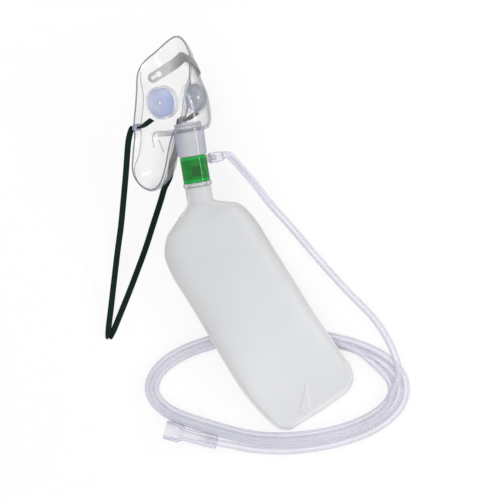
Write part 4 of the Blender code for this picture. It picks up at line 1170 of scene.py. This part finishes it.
def local_frame(origin, z_axis, x_hint=UP):
    """A placement in the mask's own axes with z along an axis."""
    z_axis = Vector(z_axis).normalized()
    y_axis = z_axis.cross(Vector(x_hint)).normalized()
    x_axis = y_axis.cross(z_axis)
    turn = Matrix((x_axis, y_axis, z_axis)).transposed().to_4x4()
    return Matrix.Translation(Vector(origin) * MM) @ turn


def rod(place, radius, ends, steps):
    """A closed round mesh along a placement's z axis, between two heights."""
    low, high = ends
    profile = ((0.0, low), (radius, low), (radius, high), (0.0, high))
    return turned_mesh("rod", profile, steps, place)


def block(size, place=IDENTITY):
    """A closed box in a placement."""
    mesh = bpy.data.meshes.new("block")
    work = bmesh.new()
    bmesh.ops.create_cube(work, size=1.0)
    for vert in work.verts:
        vert.co = Vector(v * s for v, s in zip(vert.co, size)) * MM
    work.to_mesh(mesh)
    work.free()
    mesh.transform(place)
    return mesh


def lug_place(side):
    """A strap lug's placement in the mask's axes."""
    x, y, z = LUG_CENTRE
    return Matrix.Translation(Vector((side * x, y, z)) * MM)


def lug_slot(depth):
    """A block for a lug's slot, as deep as a number of lugs."""
    return block((STRAP_WIDTH + SLOT_ROOM, LUG_SIZE[1] * depth, STRAP_THICK + SLOT_ROOM))


def face_normal(place, across):
    """The face's outward direction in the mask's axes."""
    small = 0.02
    along = face_point(place + small, across) - face_point(place - small, across)
    over = face_point(place, min(across + small, 1.0)) - face_point(place, across - small)
    return along.cross(over).normalized()


def mask_face(finish):
    """The clear shell as a fine sheet with its wall, the valves' windows, slots and port."""
    columns = [-1.0 + i / FLANGE_COLUMNS for i in range(FLANGE_COLUMNS)]
    columns += [(i / FACE_COLUMNS) ** COLUMN_POWER for i in range(FACE_COLUMNS + 1)]
    last = len(MASK_ROWS) - 1.0
    points = []
    for row in range(FACE_ROWS):
        place = last * row / (FACE_ROWS - 1.0)
        points += [face_point(place, across) for across in columns]
    wide = len(columns)
    faces = []
    for row in range(FACE_ROWS - 1):
        for column in range(wide - 1):
            a = row * wide + column
            faces.append((a, a + 1, a + wide + 1, a + wide))
    mesh = mesh_of("mask_face", points, faces)
    work = bmesh.new()
    work.from_mesh(mesh)
    bmesh.ops.remove_doubles(work, verts=work.verts, dist=0.05 * MM)
    bmesh.ops.dissolve_degenerate(work, edges=work.edges, dist=0.01 * MM)
    work.to_mesh(mesh)
    work.free()
    piece = tool("mask_face", mesh)
    mirror = piece.modifiers.new("both_sides", "MIRROR")
    mirror.use_axis = (True, False, False)
    mirror.merge_threshold = 0.00001
    wall = piece.modifiers.new("wall", "SOLIDIFY")
    wall.thickness = WALL * MM
    wall.offset = -1.0
    wall.use_even_offset = True
    wall.use_quality_normals = True
    settled(piece)
    for side, _ in SIDES:
        window = SEAT_RADIUS - SEAT_WALL / 2.0
        cut(piece, rod(valve_placement(side), window, WINDOW_CUT, CUT_SIDES))
        slot = lug_slot(3.0)
        slot.transform(lug_place(side))
        cut(piece, slot)
    port = port_placement()
    half = PORT_WALL / 2.0
    held = PORT_RIM_RADIUS - PORT_RIM_HOLD
    cut(piece, rod(port, held, (half, half + PORT_RECESS), CUT_SIDES))
    cut(piece, rod(port, PORT_BORE, PORT_CUT, CUT_SIDES))
    mesh = taken(piece)
    mesh.transform(MASK)
    shown = add("mask_face", mesh, finish, "mask", ("mask_shell",))
    smooth(shown, SHEET_ANGLE)
    return shown


def on_mask(name, mesh, finish, place=IDENTITY, node=None, angle=PIECE_ANGLE):
    """A piece of the mask made in a placement of the mask's own axes, in place of a node."""
    mesh.transform(MASK @ place)
    smooth(add(name, mesh, finish, "mask", (node,) if node else ()), angle)


def round_edge(name, points, radius, closed=False):
    """A round bar along points, as a closed mesh."""
    guide = tool(name, round_curve(name, points, radius, BAR_ROUNDNESS, closed))
    view = guide.evaluated_get(bpy.context.evaluated_depsgraph_get())
    mesh = bpy.data.meshes.new_from_object(view)
    bpy.data.objects.remove(guide, do_unlink=True)
    return mesh


def mirrored(point, side):
    """A point of the mask's right half, or the same one on its left."""
    return Vector((side * point.x, point.y, point.z))


def mask_rim(finish):
    """The rolled edge round the shell."""
    last = len(MASK_ROWS) - 1.0
    near = [face_point(last * i / (FACE_ROWS - 1.0), -1.0) for i in range(FACE_ROWS)]
    loop = near + [mirrored(point, -1.0) for point in reversed(near)]
    on_mask("mask_rim", round_edge("mask_rim", loop, RIM_BEAD_RADIUS, True), finish)


def flange_fold(finish):
    """The fine fold line where the flange meets the face, at each side."""
    line = []
    for place in np.linspace(*FOLD_PLACES, FOLD_POINTS):
        line.append(face_point(place, 0.0) + face_normal(place, 0.05) * WALL)
    for side, word in SIDES:
        mesh = round_edge("flange_fold", [mirrored(point, side) for point in line], FOLD_RADIUS)
        on_mask("flange_fold_" + word, mesh, finish)


def seen_on(tree, spot):
    """Where the eye's ray through a point of the table first meets a piece."""
    eye = Vector(EYE) * MM
    ray = (Vector((*spot, 0.0)) * MM - eye).normalized()
    return tree.ray_cast(eye, ray)[0]


def lines_on(base, routes, name, finish, body):
    """Fine raised lines laid on a piece where the eye's rays through the table meet it."""
    tree = BVHTree.FromPolygons(
        [v.co for v in base.data.vertices], [tuple(f.vertices) for f in base.data.polygons]
    )
    for i, route in enumerate(routes):
        spots = []
        for (x, y), (u, v) in zip(route, route[1:]):
            for k in range(LINE_STEPS):
                spots.append((x + (u - x) * k / LINE_STEPS, y + (v - y) * k / LINE_STEPS))
        found = [seen_on(tree, spot) for spot in spots]
        line = [point / MM for point in found if point is not None]
        mesh = round_edge(name, line, FOLD_RADIUS)
        smooth(add(f"{name}_{i + 1}", mesh, finish, body))


def valve_seats(seat_finish, flap_finish):
    """Each cheek's drilled seat with its post, and the grooved disc that lies on it."""
    head = SEAT_PROUD + FLAP_GAP + FLAP_DOME + FLAP_THICK + FLAP_GAP
    plate = SEAT_PROUD - SEAT_PLATE
    ring = SEAT_RADIUS - SEAT_WALL
    soft = 0.25
    seat_profile = (
        (0.0, head + STUD_HEAD_THICK),
        (STUD_HEAD_RADIUS * 0.5, head + STUD_HEAD_THICK * 0.93),
        (STUD_HEAD_RADIUS * 0.75, head + STUD_HEAD_THICK * 0.75),
        (STUD_HEAD_RADIUS, head + soft),
        (STUD_HEAD_RADIUS, head),
        (STUD_RADIUS, head),
        (STUD_RADIUS, SEAT_PROUD),
        (ring, SEAT_PROUD),
        (ring, SEAT_PROUD + SEAT_LIP - soft),
        (ring + soft, SEAT_PROUD + SEAT_LIP),
        (SEAT_RADIUS - soft, SEAT_PROUD + SEAT_LIP),
        (SEAT_RADIUS, SEAT_PROUD + SEAT_LIP - soft),
        (SEAT_RADIUS, SEAT_PROUD - SEAT_DEPTH),
        (ring - SEAT_LEDGE, SEAT_PROUD - SEAT_DEPTH),
        (ring - SEAT_LEDGE, plate),
        (0.0, plate),
    )
    base = SEAT_PROUD + FLAP_GAP
    hole = STUD_RADIUS + FLAP_GAP
    outer = ring - FLAP_GAP
    under = []
    for i in range(FLAP_POINTS + 1):
        share = i / FLAP_POINTS
        rise = FLAP_DOME * (1.0 - share**FLAP_POWER)
        under.append((hole + (outer - hole) * share, base + rise))
    upper = []
    for radius, height in under:
        groove = 0.5 + 0.5 * math.cos(2.0 * math.pi * (radius - hole) / FLAP_GROOVE_STEP)
        upper.append((radius, height + FLAP_THICK - FLAP_GROOVE * groove))
    far_seat = clear_material("far_seat_vinyl", "seat_vinyl", FAR_SEAT_COVER)
    # The far disc's own rubber: a paler colour as painted light, and painted shade at its left
    # edge
    far_disc_painted_light = valve_rubber("far_valve_rubber_painted_light", FAR_DISC_LIT_COLOUR, FAR_DISC_PAINTED_SHADE)
    finishes = ((seat_finish, flap_finish), (far_seat, far_disc_painted_light))
    for (side, word), (seat_look, flap_look) in zip(SIDES, finishes):
        place = valve_placement(side)
        seat = tool("valve_seat", turned_mesh("valve_seat", seat_profile, SEAT_SIDES))
        for i in range(VENT_COUNT):
            turn = Matrix.Rotation(2.0 * math.pi * (i + 0.5) / VENT_COUNT, 4, "Z")
            at = turn @ Matrix.Translation((VENT_RING * MM, 0.0, 0.0))
            cut(seat, rod(at, VENT_RADIUS, (plate - 1.0, SEAT_PROUD + 1.0), VENT_SIDES))
        on_mask("valve_seat_" + word, taken(seat), seat_look, place)
        disc = turned_mesh("valve_disc", upper + list(reversed(under)), DISC_SIDES)
        node = "valve_flap_" + word
        on_mask("valve_disc_" + word, disc, flap_look, place, node, DISC_ANGLE)


def strap_lugs(finish):
    """The slotted lug at each side of the flange."""
    for side, word in SIDES:
        lug = tool("lug", block(LUG_SIZE))
        cut(lug, lug_slot(2.0))
        edge = lug.modifiers.new("edge", "BEVEL")
        edge.width = LUG_EDGE * MM
        edge.segments = 3
        on_mask("strap_lug_" + word, taken(settled(lug)), finish, lug_place(side))


def port_rim(finish):
    """The thick ring round the port that the connector turns in."""
    half = PORT_WALL / 2.0
    soft = 0.4
    profile = (
        (PORT_BORE, half),
        (PORT_RIM_RADIUS - soft, half),
        (PORT_RIM_RADIUS, half - soft),
        (PORT_RIM_RADIUS, soft - half),
        (PORT_RIM_RADIUS - soft, -half),
        (PORT_BORE, -half),
    )
    on_mask("port_rim", turned_mesh("port_rim", profile, DISC_SIDES, port_placement()), finish)


def clip_point(share):
    """A point of the nose clip's middle line and its outward direction, by share of a side."""
    start, end = CLIP_ROWS
    reach = 1.0 - CLIP_REACH * abs(share)
    place = start + (end - start) * abs(share) ** CLIP_POWER
    normal = face_normal(place, reach)
    point = face_point(place, reach) + normal * (WALL + CLIP_LIFT + CLIP_THICK / 2.0)
    if share < 0.0:
        point.x = -point.x
        normal.x = -normal.x
    return point, normal


def nose_clip(metal, stud_finish):
    """The soft metal strip with round ends, a keyhole at each, and the studs that hold it."""
    shares = [i / CLIP_SHARES for i in range(CLIP_SHARES + 1)]
    middle = [clip_point(share)[0] for share in shares]
    lengths = np.cumsum([0.0] + [(b - a).length for a, b in zip(middle, middle[1:])])
    half = float(lengths[-1])

    def station(distance):
        share = float(np.interp(abs(distance), lengths, shares))
        sign = -1.0 if distance < 0.0 else 1.0
        point, normal = clip_point(sign * share)
        before = clip_point(sign * max(share - CLIP_NEAR, 0.0))[0]
        after = clip_point(sign * min(share + CLIP_NEAR, 1.0))[0]
        along = (after - before).normalized()
        normal = (normal - along * normal.dot(along)).normalized()
        return point, normal, along

    end = CLIP_WIDTH / 2.0
    places = list(np.linspace(0.0, half - end, CLIP_STEPS))
    for i in range(1, CLIP_END_STEPS):
        places.append(half - end * (1.0 - math.sin(math.pi / 2.0 * i / CLIP_END_STEPS)))
    places.append(half - CLIP_TIP)
    distances = [-p for p in reversed(places[1:])] + places
    points = []
    for distance in distances:
        point, normal, along = station(distance)
        if distance < 0.0:
            along = -along
        wide = normal.cross(along).normalized()
        past = max(abs(distance) - (half - end), 0.0)
        reach = math.sqrt(max(end**2 - past**2, CLIP_TIP))
        for level, edge in ((-1, -1), (1, -1), (1, 1), (-1, 1)):
            points.append(point + wide * reach * edge + normal * (CLIP_THICK / 2.0) * level)
    mesh = mesh_of("nose_clip_strip", points, ring_faces(len(distances), 4))
    outward(mesh)
    strip = tool("nose_clip_strip", mesh)
    for side, word in SIDES:
        point, normal, along = station(side * (half - CLIP_STUD_INSET))
        place = local_frame(point, normal, along)
        cut(strip, rod(place, KEYHOLE_RADIUS, KEYHOLE_CUT, KEYHOLE_SIDES))
        slot = place @ Matrix.Translation((-KEYHOLE_SLOT / 2.0 * MM, 0.0, 0.0))
        cut(strip, block((KEYHOLE_SLOT, KEYHOLE_RADIUS * 1.1, 6.0), slot))
        far = place @ Matrix.Translation((-KEYHOLE_SLOT * MM, 0.0, 0.0))
        cut(strip, rod(far, CLIP_HEAD_RADIUS + FLAP_GAP, KEYHOLE_CUT, KEYHOLE_SIDES))
        top = CLIP_THICK / 2.0 + FLAP_GAP
        foot = -CLIP_THICK / 2.0 - CLIP_LIFT - WALL * 0.6
        profile = (
            (0.0, top + 1.0),
            (CLIP_HEAD_RADIUS * 0.7, top + 0.8),
            (CLIP_HEAD_RADIUS, top + 0.2),
            (CLIP_HEAD_RADIUS, top),
            (CLIP_STUD_RADIUS, top),
            (CLIP_STUD_RADIUS, foot),
            (0.0, foot),
        )
        stud = turned_mesh("clip_stud", profile, STUD_SIDES)
        on_mask("clip_stud_" + word, stud, stud_finish, place)
    on_mask("nose_clip_strip", taken(strip), metal, node="nose_clip")


def strap_route():
    """The strap's middle line with its width direction, from the near tail to the far tail."""
    flat = -Vector(STRAP_LEVEL).normalized()
    ends = []
    x, y, z = LUG_CENTRE
    for side, _ in SIDES:
        slot = in_frame((side * x, y, z))
        half = LUG_SIZE[1] / 2.0
        line = [slot + FRONT * (half + ahead) + CROWN * up for ahead, up in STRAP_TAIL]
        line += [slot + FRONT * half, slot - FRONT * half]
        line += [slot - FRONT * (half + behind) - CROWN * down for behind, down in STRAP_BACK]
        turns = [*TAIL_TURNS, *[0.0] * (len(line) - len(TAIL_TURNS))]
        tail = (line[0] - line[2]).normalized()
        end = []
        for point, turn in zip(line, turns):
            end.append((point, Matrix.Rotation(math.radians(turn), 3, tail) @ (RIGHT * side)))
        ends.append(end)
    near_end, far_end = ends
    rows = list(near_end)
    for i, point in enumerate(STRAP_NEAR):
        share = min((i + 1) / STRAP_LEVELLING, 1.0)
        rows.append((Vector(point), near_end[-1][1].lerp(flat, share).normalized()))
    rows.append((Vector(STRAP_FOLD), flat))
    rows += [(Vector(point), flat) for point in STRAP_FAR]
    rows += [(point, -wide if wide.dot(flat) < 0.0 else wide) for point, wide in reversed(far_end)]
    return rows


def elastic_strap(finish):
    """The woven elastic as a fine ribbon with its own length and width as UVs."""
    rows = strap_route()
    count = len(rows)
    fine = []
    for i in range(count - 1):
        (start, wide), (end, next_wide) = rows[i], rows[i + 1]
        before = rows[max(i - 1, 0)][0]
        after = rows[min(i + 2, count - 1)][0]
        pieces = max(1, round((end - start).length / STRAP_STEP))
        for k in range(pieces):
            point = between(before, start, end, after, k / pieces)
            fine.append((point, wide.lerp(next_wide, k / pieces).normalized()))
    fine.append(rows[-1])
    section = []
    for k in range(STRAP_ACROSS + 1):
        place = 2.0 * k / STRAP_ACROSS - 1.0
        thin = 1.0 - STRAP_THINNING * place**STRAP_THINNING_POWER
        section.append((place, STRAP_THICK / 2.0 * thin))
    section += [(w, -h) for w, h in reversed(section)]
    points = []
    travel = [0.0]
    for i, (point, wide) in enumerate(fine):
        before, after = fine[max(i - 1, 0)][0], fine[min(i + 1, len(fine) - 1)][0]
        along = (after - before).normalized()
        wide = (wide - along * wide.dot(along)).normalized()
        across = along.cross(wide)
        points += [point + wide * w * STRAP_WIDTH / 2.0 + across * h for w, h in section]
        if i:
            travel.append(travel[-1] + (point - fine[i - 1][0]).length)
    around = len(section)
    mesh = mesh_of("elastic_ribbon", points, ring_faces(len(fine), around))
    layer = mesh.uv_layers.new(name="weave")
    for loop in mesh.loops:
        ring, k = divmod(loop.vertex_index, around)
        layer.data[loop.index].uv = (section[k][0] * STRAP_WIDTH / 2.0, travel[ring])
    outward(mesh)
    piece = add("elastic_ribbon", mesh, finish, "mask", ("elastic_strap",))
    smooth(piece, SHEET_ANGLE)


def valve_placement(side):
    """The cheek valve's placement in the mask's axes, with z out of the cheek."""
    x, y, z = VALVE_CENTRE
    turn = math.radians(VALVE_TURN)
    return local_frame((side * x, y, z), (side * math.sin(turn), math.cos(turn), 0.0))


def port_placement():
    """The port's placement in the mask's axes, with z out of the mask."""
    tilt = math.radians(PORT_TILT)
    return local_frame((0.0, 0.0, 0.0), (0.0, math.sin(tilt), -math.cos(tilt)))


camera_and_light()
floor()
CLEAR = {name: clear_material(name, name) for name in CLEAR_LOOKS}
# The near disc's rubber, with painted shade across it, also worn by the inhalation valve
RUBBER = valve_rubber("valve_rubber", FLAP_COLOUR, FLAP_PAINTED_SHADE)
supply_tube(CLEAR["tube_vinyl"])
BAG = reservoir_bag(bag_film())
SHELL = mask_face(CLEAR["clear_vinyl"])
mask_rim(CLEAR["rim_vinyl"])
flange_fold(CLEAR["fold_vinyl"])
lines_on(SHELL, CHIN_FOLDS, "chin_fold", CLEAR["fold_vinyl"], "mask")
# The bag's laid lines: painted shade on the dark creases, painted highlight on the pale creases
# and the weld
CREASE = film_line("film_crease_painted_shade", BAG_CREASE_PAINTED_SHADE)
WELD = film_line("film_weld_painted_highlight", BAG_WELD_PAINTED_HIGHLIGHT)
lines_on(BAG, BAG_CREASES, "bag_crease", CREASE, "supply")
lines_on(BAG, BAG_WELDS, "bag_weld", WELD, "supply")
valve_seats(CLEAR["seat_vinyl"], RUBBER)
strap_lugs(CLEAR["lug_vinyl"])
port_rim(CLEAR["seat_vinyl"])
nose_clip(brushed_metal(), CLEAR["seat_vinyl"])
elastic_strap(woven_elastic())
FINISHES = {
    "swivel_connector": CLEAR["tinted_plastic"],
    "gas_inlet_body": CLEAR["clear_plastic"],
    "inhalation_valve": RUBBER,
    "valve_collar": green_plastic(),
    "tube_socket": CLEAR["pale_plastic"],
    "supply_connector": CLEAR["pale_plastic"],
}
ROUND_LOOK = round_look()
for node, finish in FINISHES.items():
    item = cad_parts[node]
    item.data.materials.clear()
    item.data.materials.append(finish)
    item.modifiers.new("round_look", "NODES").node_group = ROUND_LOOK
